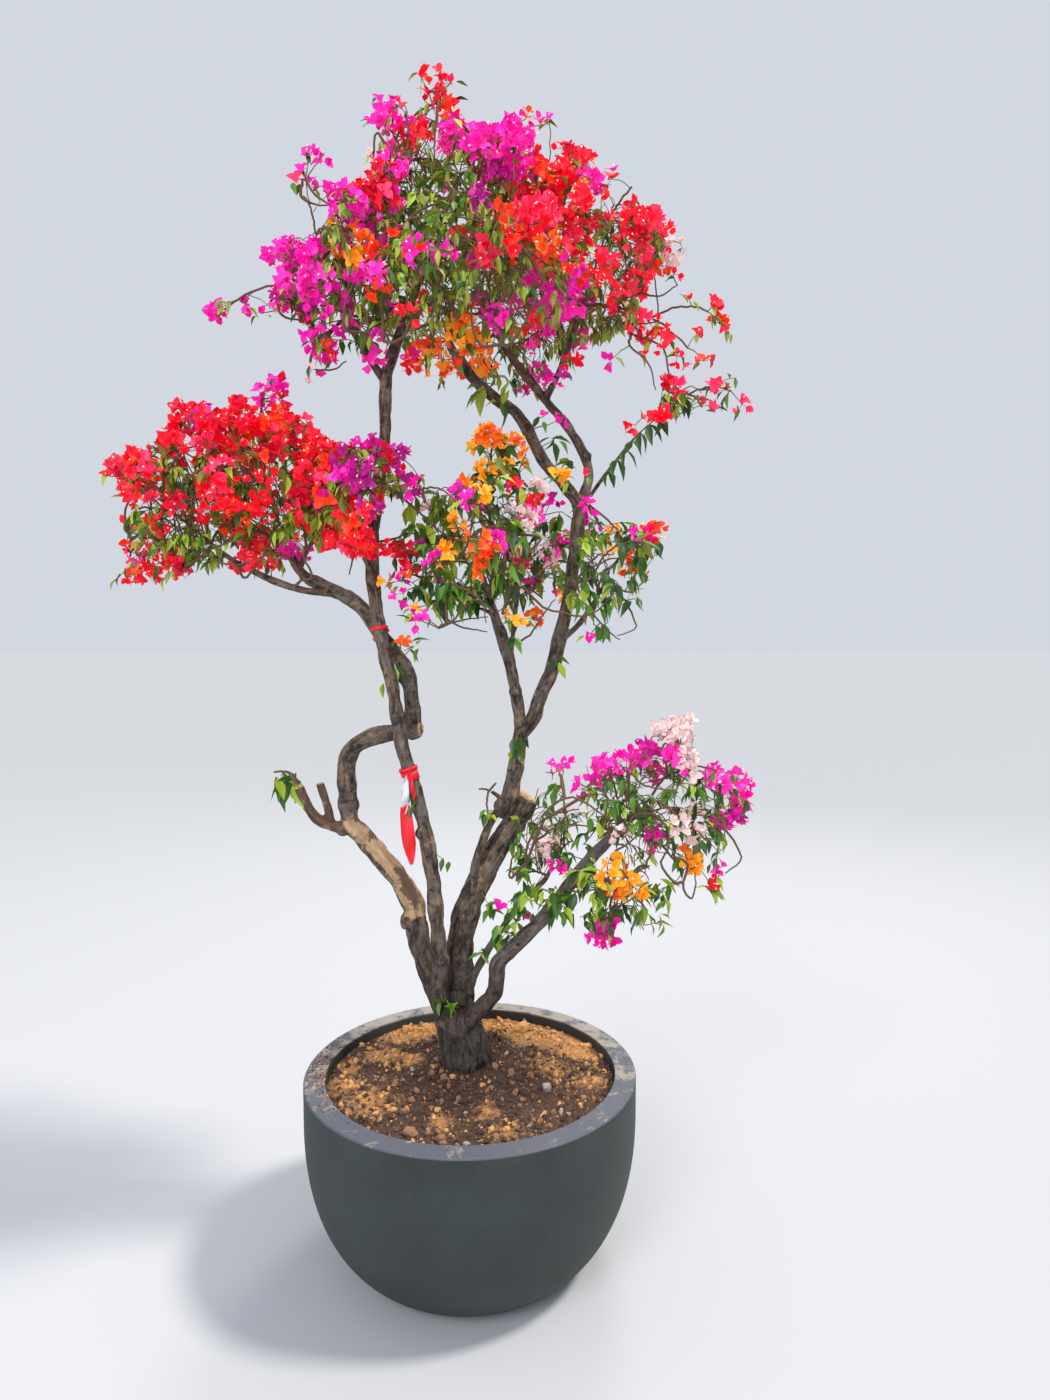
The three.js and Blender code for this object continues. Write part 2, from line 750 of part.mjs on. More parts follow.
// Leaves along the twig's outer half, hanging out and down
function addLeaves(pieces, twig, count, random, fits) {
  for (let i = 0; i < count; i++) {
    const share = LEAF_ROOTS.first + (LEAF_ROOTS.spread * (i + random())) / count;
    const turn = random() * 2 * Math.PI;
    const droop = LEAF_DROOP.least + LEAF_DROOP.spread * random();
    const heading = new THREE.Vector3(Math.cos(turn), Math.sin(turn), -droop).normalize();
    const normal = new THREE.Vector3(0, 0, 1).addScaledVector(heading, -heading.z).normalize();
    const root = polylinePoint(twig.curve, share).addScaledVector(heading, -ROOT_SINK);
    addWhereItFits(pieces, leafGeometry(root, heading, normal, LEAF), fits);
  }
}

// A point on the two straight stretches that a twig's solid follows
function polylinePoint(curve, share) {
  const half = curve.getPoint(0.5);
  if (share < 0.5) return curve.getPoint(0).lerp(half, share * 2);
  return half.lerp(curve.getPoint(1), share * 2 - 1);
}

function massSolid(mass, masses, limbs, cutter) {
  const fits = (point) => inOwnSpace(mass, masses, point) && limbDistance(limbs, point) > LIMB_CLEARANCE;
  const { stem, twigs } = growTwigs(mass, fits);
  const random = seeded(mass.seed + LEAF_SEED);
  const taper = ({ base, end }) => (share) => THREE.MathUtils.lerp(base, end, share);
  const pieces = [bentTube(stem.curve, taper(stem), BOUGH_SIDES, STEM_FORKS.length)];
  for (const twig of twigs) {
    pieces.push(solidOf(bend(new THREE.ConeGeometry(1, 1, 3, 2), twig.curve, taper(twig), 2, 0)));
    const share = BLOOM_BY_HEIGHT.level + BLOOM_BY_HEIGHT.rise * twig.height;
    const inFlower = twig.shoot || random() < mass.bloom * share;
    if (inFlower) addBlossom(pieces, twig, random, fits);
    addLeaves(pieces, twig, inFlower ? 1 : 2, random, fits);
  }
  const whole = wasm.Manifold.union(pieces);
  return largestBody(whole.subtract(cutter));
}

// A mass starts just inside its limb's tip, heading the way that the limb points
function placeMass(mass, limbs) {
  const limb = limbs.get(mass.from);
  const heading = limb.curve.getTangent(1).normalize();
  const start = limb.curve.getPoint(1).addScaledVector(heading, -STEM_SINK);
  const stemRadius = limb.radiusAt(1) * STEM_SHARE;
  return { ...mass, start, heading, heartPoint: vector(mass.heart), stemRadius };
}

function namedMesh(name, solid, look) {
  const mesh = new THREE.Mesh(geometryOf(solid), new THREE.MeshStandardMaterial(look));
  mesh.name = name;
  return mesh;
}

const plant = new THREE.Group();
const pot = new THREE.Group();
pot.add(namedMesh("planter", planterSolid(), CONCRETE), namedMesh("soil", soilSolid(), EARTH));
plant.add(pot);

const { limbs, cutter } = makeLimbs();
const wood = new THREE.Group();
for (const limb of limbs.values()) wood.add(namedMesh(limb.name, limb.solid, BARK));
plant.add(wood);

const masses = MASSES.map((mass) => placeMass(mass, limbs));
const crown = new THREE.Group();
for (const mass of masses) {
  crown.add(namedMesh("foliage_" + mass.name, massSolid(mass, masses, limbs, cutter), mass.flower));
}
plant.add(crown);

export default plant;
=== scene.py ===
# Bougainvillea bush in a bowl planter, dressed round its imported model, in metres with +Z up.
# The origin is the centre of the planter's flat underside, -Y is the front and +X is to the right.
import math

import bpy
import numpy as np
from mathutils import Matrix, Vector, noise


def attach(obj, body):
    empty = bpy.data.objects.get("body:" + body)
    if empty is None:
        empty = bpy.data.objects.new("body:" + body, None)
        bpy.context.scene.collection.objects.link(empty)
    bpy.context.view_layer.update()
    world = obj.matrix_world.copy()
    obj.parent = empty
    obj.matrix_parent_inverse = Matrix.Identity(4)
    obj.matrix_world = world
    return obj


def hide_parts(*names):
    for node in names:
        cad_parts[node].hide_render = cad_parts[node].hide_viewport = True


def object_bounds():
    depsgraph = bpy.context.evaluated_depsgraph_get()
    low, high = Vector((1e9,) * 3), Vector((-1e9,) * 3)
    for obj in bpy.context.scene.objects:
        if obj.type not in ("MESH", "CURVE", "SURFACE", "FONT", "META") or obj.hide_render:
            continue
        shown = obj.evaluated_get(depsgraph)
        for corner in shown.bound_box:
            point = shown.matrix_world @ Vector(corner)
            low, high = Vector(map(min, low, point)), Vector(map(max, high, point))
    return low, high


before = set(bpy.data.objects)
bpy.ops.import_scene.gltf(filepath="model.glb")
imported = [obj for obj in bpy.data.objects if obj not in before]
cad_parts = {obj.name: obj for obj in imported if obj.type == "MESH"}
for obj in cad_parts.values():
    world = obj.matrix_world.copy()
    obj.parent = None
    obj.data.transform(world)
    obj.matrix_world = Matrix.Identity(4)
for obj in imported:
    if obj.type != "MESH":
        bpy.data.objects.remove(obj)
cad_low, cad_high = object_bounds()

BODY = "root"


def metric(values, unit=1000):
    """Whole millimetres, or hundredths of a metre for a unit of 100, as metres"""
    return tuple(value / unit for value in values)


def metres(first, last, rows, unit=100):
    """Rows, or lists of rows under their names, with their values from first to last brought to metres"""
    if isinstance(rows, dict):
        return {name: metres(first, last, mine, unit) for name, mine in rows.items()}
    return [(*row[:first], *metric(row[first:last], unit), *row[last:]) for row in rows]


def limb_row(name, radii, *points):
    return {"name": name, "radii": metric(radii), "points": [metric(point) for point in points]}


def mass_row(name, limb, region, mixture, seed, twigs, bloom, heart, centre, half, *shoots):
    """A mass's node, limb, region and blossom, its seed and twigs, and its lobe and shoots in millimetres"""
    return {
        "name": name, "limb": limb, "region": region, "mix": mixture, "seed": seed, "twigs": twigs,
        "bloom": bloom, "heart": Vector(metric(heart)), "centre": metric(centre), "half": metric(half),
        "shoots": [Vector(metric(tip)) for tip in shoots],
    }


# The photograph's view: where the camera stands, how far it looks down, and its focal length
CAMERA_PLACE = (0.1478, -2.4286, 1.6675)
CAMERA_TILT = 0.0618
FOCAL_PIXELS = 906.4
IMAGE_HEIGHT = 1400
SENSOR = 36

# Planter: the source's bowl, with more steps round it
BOWL_RADIUS = 0.45
BOWL_HEIGHT = 0.506
FOOT_RADIUS = 0.246
SHOULDER_HEIGHT = 0.412
RIM_WIDTH = 0.056
RIM_DEPTH = 0.06
RIM_BEVEL = 0.004
WALL = 0.024
FLOOR = 0.03
BOWL_RISE = 2.36
BOWL_BULGE = 1.68
BOWL_STEPS = 22
BOWL_TURNS = 144

# Soil: level round the rim and heaped up under the trunk
SOIL_EDGE_HEIGHT = 0.476
SOIL_TOP_HEIGHT = 0.496
HEAP_FLAT_RADIUS = 0.165
HEAP_RADIUS = 0.33
SOIL_GAP = 0.0003
SOIL_RINGS = 56
SOIL_TURNS = 200
MERGE_DISTANCE = 0.00005
TRUNK_FOOT = Vector((-0.014, 0.046, 0))
HAND_LUMPS = 0.008
THUMB_LUMPS = 0.009
CRUMB_LUMPS = 0.004

# Patches of painted sunlight on the earth, in hundredths of a metre: the middle, the radius, and how strong
# the painted sunlight is
SUNLIT_PATCHES = metres(0, 3, [
    (20, 27, 17, 1), (31, 18, 11, 0.9), (7, 33, 11, 1), (-19, 28, 14, 1), (-26, 11, 8, 0.75),
    (-34, 6, 7, 0.6), (-18, 6, 6, 0.75), (-34, -5, 9, 0.42), (-26, -14, 12, 0.42), (-6, -25, 6, 0.42),
    (5, -20, 6, 0.42), (22, 3, 11, 0.42), (32, -2, 9, 0.4), (10, -28, 8, 0.35),
])
# Crumbs and stones: their colours, how many and how big, how much painted sunlight the ground needs for
# crumbs to be painted lit in ochre and tan, how far they keep from the trunk, and where those spilt on the
# rim lie, in degrees
EARTHS = {"dark": (76, 55, 45), "tan": (146, 108, 78), "ochre": (206, 154, 96), "grey": (166, 154, 148)}
EARTH_SHARES = {"dark": 0.56, "tan": 0.32, "ochre": 0.1, "grey": 0.02}
SUNLIT_SHARES = {"ochre": 0.75, "tan": 0.25}
SPILT_SHARES = {"dark": 0.4, "tan": 0.4, "ochre": 0.2}
CRUMB_COUNT = 3800
CRUMB_SIZE = (0.0022, 0.008)
CLOD_SIZE = 0.007
SUNLIT_GROUND = 0.28
BARE_RADIUS = 0.075
SPILT_COUNT = 260
SPILT_TURN = 184
SPILT_SPREAD = 15
# The bigger stones: each one's colour, place and radius, in millimetres
STONES = metres(1, 4, [
    ("ochre", 139, 266, 24), ("ochre", -215, 288, 18), ("ochre", -153, 288, 19), ("tan", -132, -293, 18),
    ("tan", -54, -324, 14.5), ("grey", 206, -94, 13.5), ("tan", -158, -203, 12), ("tan", 122, -132, 10.5),
    ("grey", 240, -188, 8.5), ("tan", 110, -22, 12), ("tan", 65, 0, 11), ("tan", -235, -232, 12),
    ("tan", -300, -200, 11), ("grey", -90, -280, 6), ("grey", 160, -260, 6),
], 1000)

# Limbs, the trunk first: radii from root to tip and way-points, in millimetres, as in the source
LIMBS = [
    limb_row("trunk", (75, 66, 65, 61, 36), (-10, 43, 466), (-20, 50, 538), (-34, 56, 588), (-46, 62, 634),
        (-50, 64, 654)),
    limb_row("bough_right_lower", (41, 40, 37, 34), (-34, 84, 585), (-38, 118, 748), (-33, 130, 847),
        (-10, 138, 926), (47, 148, 1046), (110, 150, 1148), (165, 150, 1235)),
    limb_row("bough_middle", (24, 22, 20, 19, 16), (-72, 50, 585), (-88, 40, 680), (-87, 26, 770),
        (-94, 10, 925), (-113, 0, 1104), (-144, 0, 1249), (-182, 0, 1390), (-204, 2, 1531), (-233, 18, 1651),
        (-258, 34, 1792), (-265, 40, 1947), (-242, 40, 2107), (-227, 40, 2240), (-222, 42, 2385),
        (-196, 62, 2480)),
    limb_row("bough_left_lower", (31, 33, 30, 26), (-62, 74, 592), (-122, 92, 730), (-156, 104, 836),
        (-171, 112, 926), (-206, 120, 990), (-302, 120, 1111), (-345, 120, 1160), (-354, 120, 1228)),
    limb_row("bough_left_hook", (26, 25, 24), (-354, 120, 1224), (-356, 115, 1330), (-330, 110, 1381),
        (-256, 100, 1414), (-136, 84, 1432)),
    limb_row("bough_left_upper", (24, 22, 19), (-163, 90, 1424), (-168, 92, 1512), (-182, 88, 1592),
        (-252, 80, 1696), (-317, 74, 1780), (-385, 62, 1817), (-436, 52, 1841)),
    limb_row("stub_left_outer", (18, 15), (-335, 120, 1136), (-403, 104, 1159), (-436, 94, 1177),
        (-460, 86, 1210), (-483, 80, 1269)),
    limb_row("stub_left_inner", (13, 12), (-398, 104, 1160), (-414, 96, 1231), (-427, 94, 1279)),
    limb_row("bough_low_right", (26, 24, 22, 16), (-36, 42, 606), (2, 22, 638), (37, 0, 681), (64, -12, 718),
        (72, -22, 762), (75, -30, 806), (98, -32, 834), (174, -30, 907), (234, -30, 978), (318, -12, 1082),
        (380, 10, 1138)),
    limb_row("bough_low_thin", (13, 11, 9), (-30, 66, 612), (4, 76, 731), (29, 84, 779), (71, 96, 845),
        (131, 102, 926), (204, 100, 1001)),
    limb_row("bough_right_side", (13, 12), (0, 118, 950), (6, 100, 1040), (43, 98, 1147), (80, 112, 1216)),
    limb_row("bough_right_leader", (28, 22), (96, 152, 1165), (107, 158, 1245), (119, 160, 1300),
        (129, 160, 1378), (139, 162, 1424)),
    limb_row("bough_right_upper", (23, 22, 21, 20), (140, 164, 1416), (171, 178, 1452), (191, 190, 1514),
        (222, 200, 1582), (250, 200, 1690), (272, 200, 1794), (289, 200, 1909), (299, 200, 2000),
        (305, 200, 2079)),
    limb_row("bough_centre", (19, 17), (138, 160, 1416), (128, 158, 1484), (114, 140, 1568),
        (100, 120, 1634), (78, 102, 1703)),
    limb_row("crown_bough_front", (19, 15), (304, 199, 2066), (253, 190, 2128), (204, 180, 2180),
        (130, 152, 2304), (70, 135, 2345), (14, 112, 2386), (-44, 60, 2450)),
    limb_row("crown_bough_back", (16, 13), (306, 201, 2066), (332, 220, 2151), (321, 230, 2206),
        (272, 240, 2294), (206, 250, 2374), (104, 270, 2508)),
    limb_row("crown_bough_left", (12, 9), (-222, 42, 2360), (-268, 30, 2430), (-318, 26, 2510)),
    limb_row("crown_bough_right", (11, 9), (206, 249, 2372), (258, 220, 2474), (300, 190, 2590)),
    limb_row("left_bough_outer", (12, 9), (-378, 56, 1806), (-440, 12, 1810), (-530, 8, 1838),
        (-622, 18, 1884)),
    limb_row("left_bough_inner", (10, 8), (-262, 36, 1850), (-278, -20, 1905), (-284, -64, 1970)),
    limb_row("centre_bough_right", (10, 8), (246, 200, 1672), (300, 170, 1722), (346, 150, 1790)),
    limb_row("centre_bough_back", (10, 8), (104, 124, 1612), (112, 200, 1690), (120, 270, 1776)),
    limb_row("low_bough_front", (10, 8), (300, -18, 1060), (350, -70, 1050), (392, -116, 1040)),
    limb_row("shoot_right", (7, 5), (304, 198, 2044), (364, 168, 2130), (440, 138, 2225)),
]

# Foliage masses, as in the source: see mass_row
MASSES = [
    mass_row("crown_left", "crown_bough_left", "crown", "magenta", 11, 15, 0.35, (-350, 10, 2590),
        (-330, 10, 2640), (215, 270, 235), (-440, 40, 2860), (-650, 40, 2555), (-438, -20, 2400)),
    mass_row("crown_top", "bough_middle", "crown", "leafy", 12, 20, 0.25, (-110, 80, 2700), (-50, 80, 2850),
        (270, 300, 225), (-90, 90, 3110), (-225, 80, 3050), (60, 110, 3040)),
    mass_row("crown_right", "crown_bough_right", "crown", "scarlet", 13, 20, 0.8, (340, 170, 2690),
        (345, 150, 2720), (265, 320, 275), (640, 70, 2560), (590, 90, 2470), (560, 90, 2790)),
    mass_row("crown_front", "crown_bough_front", "crown", "leafy", 14, 11, 0.12, (-50, -60, 2520),
        (-10, -150, 2570), (300, 230, 170)),
    mass_row("crown_back", "crown_bough_back", "crown", "crown", 15, 12, 0.5, (60, 400, 2620),
        (40, 450, 2670), (330, 230, 240)),
    mass_row("left_outer", "left_bough_outer", "left", "scarlet", 21, 12, 0.45, (-740, 10, 1980),
        (-790, 20, 2040), (190, 220, 190), (-940, 40, 2110), (-900, 0, 1880), (-760, 30, 2270)),
    mass_row("left_middle", "bough_left_upper", "left", "scarlet", 22, 15, 0.8, (-520, 60, 1990),
        (-515, 60, 2080), (215, 270, 220), (-560, 40, 2330)),
    mass_row("left_inner", "left_bough_inner", "left", "purple", 23, 8, 0.8, (-280, -100, 2040),
        (-262, -120, 2070), (130, 120, 165)),
    mass_row("centre_left", "bough_centre", "centre", "mixed", 31, 12, 0.12, (30, 40, 1860), (0, 0, 1965),
        (200, 220, 235), (60, 40, 2200)),
    mass_row("centre_right", "centre_bough_right", "centre", "mixed", 32, 7, 0.1, (390, 140, 1880),
        (385, 130, 1890), (140, 220, 210), (490, 90, 1950)),
    mass_row("centre_back", "centre_bough_back", "centre", "mixed", 33, 6, 0.35, (130, 340, 1880),
        (120, 380, 1930), (210, 160, 210)),
    mass_row("low_right_outer", "bough_low_right", "low", "pale", 41, 14, 0.12, (470, 20, 1220),
        (500, 20, 1220), (250, 250, 190), (545, 20, 1420), (710, 20, 1260)),
    mass_row("low_right_front", "low_bough_front", "low", "orange", 42, 5, 0.15, (410, -140, 1020),
        (400, -160, 1020), (130, 110, 130)),
    mass_row("low_right_inner", "bough_low_thin", "low", "pale", 43, 5, 0.1, (230, 110, 1060),
        (200, 120, 1120), (120, 130, 170)),
    mass_row("shoot", "shoot_right", "crown", "scarlet", 51, 4, 0.4, (590, 85, 2345), (600, 90, 2310),
        (110, 90, 70), (700, 50, 2345)),
    mass_row("stub", "stub_left_outer", "left", "leafy", 52, 4, 0, (-505, 70, 1310), (-530, 65, 1270),
        (80, 80, 70)),
    mass_row("side", "bough_right_side", "centre", "leafy", 53, 3, 0, (50, 60, 1262), (30, 50, 1250),
        (80, 80, 70)),
]

# The source's growth rule: the stem's start, size, taper, bend and forks
GOLDEN_ANGLE = math.pi * (3 - math.sqrt(5))
STEM_SINK = 0.004
STEM_SHARE = 0.92
STEM_TAPER = 0.5
STEM_BEND = 0.3
STEM_FORKS = (0.34, 0.67, 1)

# Its twigs: where in a lobe their tips lie, how they arch and sway, and what a longer way round costs
TIP_DEPTH = (0.66, 0.3)
TWIG_TAPER = 0.6
TWIG_ARCH = 0.24
TWIG_SWAY = 0.2
TWIG_TIP_RADIUS = 0.0026
TWIG_ROOT_RADIUS = 0.0031
ATTACH_BIAS = 0.35
FORK_AT = 0.5
TWIG_CHECKS = (0.25, 0.5, 0.75, 1)
TRIM_SHARES = (1, 0.9, 0.8, 0.7, 0.6)

# Its own space: the width kept for the stem and the shoots, its edge, and what it leaves free round others
STEM_SPACE = 0.06
SHOOT_SPACE = 0.12
CELL_EDGE = 1.06
CELL_MARGIN = 0.05
LIMB_CLEARANCE = 0.005

# Finer twigs, grown on by the same rule: how many more tips a lobe has, how deep in it they lie,
# how long they are, and how they arch
FINE_PER_TWIG = 6
FINE_DEPTH = (0.4, 0.6)
FINE_FORKS = (0.3, 0.45, 0.6, 0.75, 0.9)
FINE_ROOT_RADIUS = 0.0022
FINE_TIP_RADIUS = 0.0013
FINE_SPAN = (0.04, 0.36)
FINE_ARCH = (0.1, 0.34)
# How far a twig's nodes stand out of its line, as a share of its length
KINK = 0.018

# Long bare twigs: how deep in the lobe they end, how long they are, how they arch and sway, and their radii
LOOP_DEPTH = (0.55, 0.98)
LOOP_SPAN = (0.08, 0.42)
LOOP_ARCH = (-0.35, 0.75)
LOOP_SWAY = (-2, 2)
LOOP_RADII = (0.0021, 0.0011)

# Sprays at the twigs' outer parts, which carry the leaves and the blossom
SPRAY_LENGTH = (0.035, 0.06)
SPRAY_RADII = (0.0013, 0.0008)
SPRAY_EDGE = 1.03
SPRAY_TRIES = 4
BLADE_EDGE = 1.1
REACH_SPARE = 0.004
CLEARING_MARGIN = 0.018
# Blossom and leaves thin out inside the crown, where the twigs stand bare
INNER = (0.5, 0.84)
BARE_INSIDE = 0.55
BLOOM_BY_HEIGHT = (0.75, 0.35)
CLUSTER_COUNT = (5, 12)
CLUSTER_RADIUS = 0.029
MAIN_TINT_SHARE = 0.85
BRACT_SIZE = (0.8, 0.4)
EYE_SHARE = 0.3
EYE_SIZE = 0.85
LEAF_DROOP = (0.3, 0.75)
FLOWERING_LEAVES = (0, 3)
LEAFY_LEAVES = (4, 7)

# Leaf and bract shapes: the length, and the half width down it as shares of the length
LEAF_LENGTH = 0.055
LEAF_ROWS = ((0, 0.015), (0.22, 0.15), (0.46, 0.21), (0.75, 0.11), (1, 0))
BRACT_LENGTH = 0.022
BRACT_ROWS = ((0, 0.1), (0.3, 0.41), (0.7, 0.32), (1, 0))
BRACT_RUFFLE = 0.05
# A leaf's fold along its midrib and its curl; a trio's lean from its axis, and its bracts' fold and curl
LEAF_FORMS = ((0.5, 0.32), (0.3, 0.16), (0.75, 0.45))
TRIO_FORMS = ((0.42, 0.3, 0.04), (0.7, 0.35, -0.2), (0.95, 0.25, 0.1), (1.2, 0.35, 0.28), (0.8, 0.5, 0.16))

# Blossom colours, as the bracts show them in full light, and their slots; two of the reds are painted shade
# and a painted highlight on scarlet bracts
TINTS = {
    "scarlet": ((250, 12, 50), "scarlet_bracts"),
    # A darker red for scarlet bracts in shade: painted shade
    "crimson": ((212, 6, 52), "scarlet_bracts"),
    # A pinker red for highlights on scarlet bracts: painted highlight
    "coral": ((255, 50, 102), "scarlet_bracts"),
    "orange_red": ((252, 60, 20), "scarlet_bracts"),
    "magenta": ((240, 14, 176), "magenta_bracts"),
    "hot_pink": ((255, 48, 188), "magenta_bracts"),
    "purple": ((190, 20, 142), "magenta_bracts"),
    "amber": ((255, 168, 24), "amber_bracts"),
    "orange": ((246, 104, 22), "amber_bracts"),
    "pale": ((234, 204, 204), "pale_bracts"),
}
LEAF_TINTS = {"dark": (44, 84, 26), "fresh": (82, 132, 32), "light": (160, 184, 54), "olive": (134, 138, 46)}

# Each region: the shares of the leaf tints above, the leaves' least and most size, and how many sprays
# a twig and a finer twig bear besides the one at the end
REGIONS = {
    "crown": {"tints": (0.12, 0.26, 0.26, 0.36), "size": (0.48, 0.84), "sprays": 5, "fine_sprays": 2},
    "left": {"tints": (0.16, 0.26, 0.42, 0.16), "size": (0.5, 0.88), "sprays": 5, "fine_sprays": 2},
    "centre": {"tints": (0.34, 0.4, 0.18, 0.08), "size": (0.7, 1.15), "sprays": 2, "fine_sprays": 1},
    "low": {"tints": (0.36, 0.4, 0.16, 0.08), "size": (0.5, 0.9), "sprays": 2, "fine_sprays": 1},
}
SHOOT_SPRAYS = 6
# Masses that are only a tuft of leaves
TUFT_MASSES = ("stub", "side")

# What flowers together: the share of each colour in a patch
MIXES = {
    # In the scarlet mix the darker red is painted shade and the pinker red a painted highlight on scarlet
    # bracts
    "scarlet": {"scarlet": 0.56, "crimson": 0.22, "coral": 0.15, "orange_red": 0.07},
    "orange_red": {"orange_red": 0.45, "scarlet": 0.43, "orange": 0.12},
    "magenta": {"magenta": 0.66, "hot_pink": 0.2, "purple": 0.14},
    "pink": {"hot_pink": 0.58, "magenta": 0.42},
    # The darker red here is painted shade on scarlet bracts
    "purple": {"purple": 0.5, "magenta": 0.42, "crimson": 0.08},
    "amber": {"amber": 0.8, "orange": 0.2},
    "orange": {"orange": 0.6, "amber": 0.28, "orange_red": 0.12},
    "pale": {"pale": 0.86, "hot_pink": 0.14},
    "flecked": {"amber": 0.3, "orange": 0.25, "magenta": 0.45},
    "leafy": {"magenta": 0.4, "orange_red": 0.3, "scarlet": 0.3},
    "mixed": {"magenta": 0.34, "scarlet": 0.22, "orange": 0.18, "amber": 0.12, "pale": 0.14},
    "crown": {"scarlet": 0.38, "magenta": 0.3, "hot_pink": 0.1, "orange_red": 0.14, "pale": 0.03,
        "purple": 0.05},
}

# Patches of one blossom as the camera sees them, in hundredths of a metre on the plane Y = 0:
# how far to the right and how high, the radius, and how freely it flowers there
PATCHES = metres(0, 3, {
    "scarlet": [(-8, 310, 7, 0.8), (-16, 296, 3, 0.9), (-24, 285, 5, 1), (5, 295, 2, 1), (27, 293, 5, 1),
        (35, 279, 5, 1), (24, 278, 7, 1), (17, 283, 5, 0.8), (12, 279, 3, 0.6), (33, 272, 6, 1),
        (46, 275, 6, 1), (47, 266, 4, 1), (41, 266, 4, 0.9), (42, 259, 5, 1), (4, 269, 3, 0.9),
        (-74, 229, 4, 0.9), (-78, 222, 4, 1), (-61, 222, 7, 1), (-48, 215, 9, 1), (-52, 206, 5, 0.85),
        (-91, 213, 3, 1), (-85, 206, 4, 0.8), (-72, 203, 5, 0.85), (-57, 187, 3, 0.9), (-26, 197, 6, 1),
        (-32, 203, 3, 0.9), (-39, 195, 3, 0.6), (-35, 217, 2, 0.9), (-39, 214, 4, 0.95), (-19, 214, 2, 0.9),
        (-17, 191, 3, 0.7), (52, 129, 2, 1)],
    "pink": [(-19, 304, 5, 0.8), (-17, 292, 4, 0.9), (2, 294, 9, 1), (14, 291, 5, 1), (34, 288, 5, 1),
        (15, 245, 3, 0.6), (0, 263, 1, 0.8), (-26, 263, 2, 0.9), (-52, 233, 4, 1), (-32, 208, 3, 0.9),
        (24, 193, 2, 0.8), (30, 131, 4, 1), (53, 138, 3, 1), (66, 130, 3, 1)],
    "magenta": [(-30, 279, 4, 0.9), (-32, 274, 2, 0.8), (5, 288, 5, 1), (15, 301, 6, 1), (27, 279, 2, 1),
        (26, 256, 5, 0.9), (20, 255, 3, 0.8), (12, 254, 4, 0.8), (6, 255, 3, 0.8), (-12, 268, 3, 1),
        (-44, 267, 6, 0.95), (-39, 263, 5, 0.75), (-33, 256, 3, 0.7), (-24, 247, 2, 1), (-72, 225, 3, 1),
        (-46, 193, 2, 0.7), (-39, 190, 2, 0.8), (-34, 213, 3, 0.9), (-22, 210, 3, 1), (-7, 208, 3, 1),
        (-3, 207, 2, 0.9), (2, 204, 2, 0.8), (7, 204, 2, 0.8), (22, 205, 3, 0.9), (31, 202, 3, 1),
        (8, 194, 3, 0.9), (12, 194, 2, 0.7), (-8, 188, 3, 0.9), (18, 181, 2, 0.9), (-18, 182, 3, 1),
        (-13, 173, 3, 1), (37, 135, 2, 1), (41, 135, 2, 1), (47, 136, 4, 1), (49, 132, 4, 1),
        (73, 129, 4, 1), (69, 123, 4, 1), (51, 115, 2, 0.9), (24, 107, 3, 1), (36, 88, 3, 1)],
    "amber": [(-33, 282, 1, 0.9), (5, 220, 4, 1), (14, 218, 3, 1), (10, 214, 2, 0.9), (1, 210, 4, 1),
        (25, 210, 4, 1), (-4, 197, 4, 0.95), (2, 196, 2, 0.8), (-5, 191, 2, 0.9), (0, 189, 2, 0.9),
        (10, 186, 2, 0.7), (12, 173, 2, 1), (38, 194, 3, 0.95), (61, 108, 2, 0.8), (41, 105, 5, 1),
        (42, 99, 2, 0.9)],
    "orange_red": [(21, 289, 4, 0.9), (19, 267, 5, 0.85), (36, 260, 4, 1), (5, 277, 1, 0.9),
        (-49, 225, 5, 1), (-61, 202, 4, 0.5), (-85, 187, 3, 0.9), (-79, 189, 2, 0.8), (17, 204, 2, 0.9),
        (43, 188, 3, 1)],
    "orange": [(29, 286, 2, 0.8), (-2, 251, 4, 0.9), (-8, 243, 5, 0.9), (3, 243, 5, 0.85),
        (6, 189, 3, 0.95), (4, 186, 2, 0.8), (58, 111, 2, 0.9), (37, 99, 2, 0.95)],
    "pale": [(53, 269, 3, 0.9), (11, 256, 2, 0.8), (14, 202, 3, 0.8), (20, 193, 3, 0.6), (56, 144, 4, 1),
        (58, 133, 3, 0.95), (58, 118, 4, 0.85), (50, 125, 2, 0.8), (48, 118, 2, 0.7), (41, 116, 2, 0.7),
        (27, 123, 2, 0.8), (20, 113, 3, 0.85), (64, 113, 3, 0.5)],
    "leafy": [(27, 266, 4, 0.15), (31, 247, 8, 0.12), (-6, 282, 12, 0.06), (-2, 271, 11, 0.05),
        (-14, 272, 9, 0.06), (11, 266, 7, 0.1), (-33, 248, 7, 0.12), (-20, 254, 8, 0.06), (-4, 258, 7, 0.06),
        (9, 241, 5, 0.1), (-72, 211, 5, 0.12), (-84, 198, 6, 0.22), (-70, 193, 7, 0.15), (-48, 195, 7, 0.28),
        (-37, 203, 4, 0.1), (5, 216, 2, 0.1), (12, 210, 4, 0.05), (22, 200, 3, 0.1), (16, 198, 3, 0.05),
        (5, 182, 3, 0.02), (-9, 181, 7, 0.03), (-14, 198, 6, 0.03), (34, 191, 5, 0.05), (35, 182, 8, 0.03),
        (22, 186, 4, 0.03), (60, 127, 3, 0.1), (40, 129, 4, 0.05), (28, 125, 3, 0.05), (47, 123, 4, 0.08),
        (52, 99, 6, 0.02), (32, 105, 3, 0.02)],
    "purple": [(-6, 267, 2, 0.8), (5, 281, 2, 0.8), (-42, 252, 5, 0.9), (-59, 211, 2, 0.9),
        (-26, 215, 5, 1), (16, 189, 2, 0.9)],
    "flecked": [(-32, 269, 6, 0.6)],
})
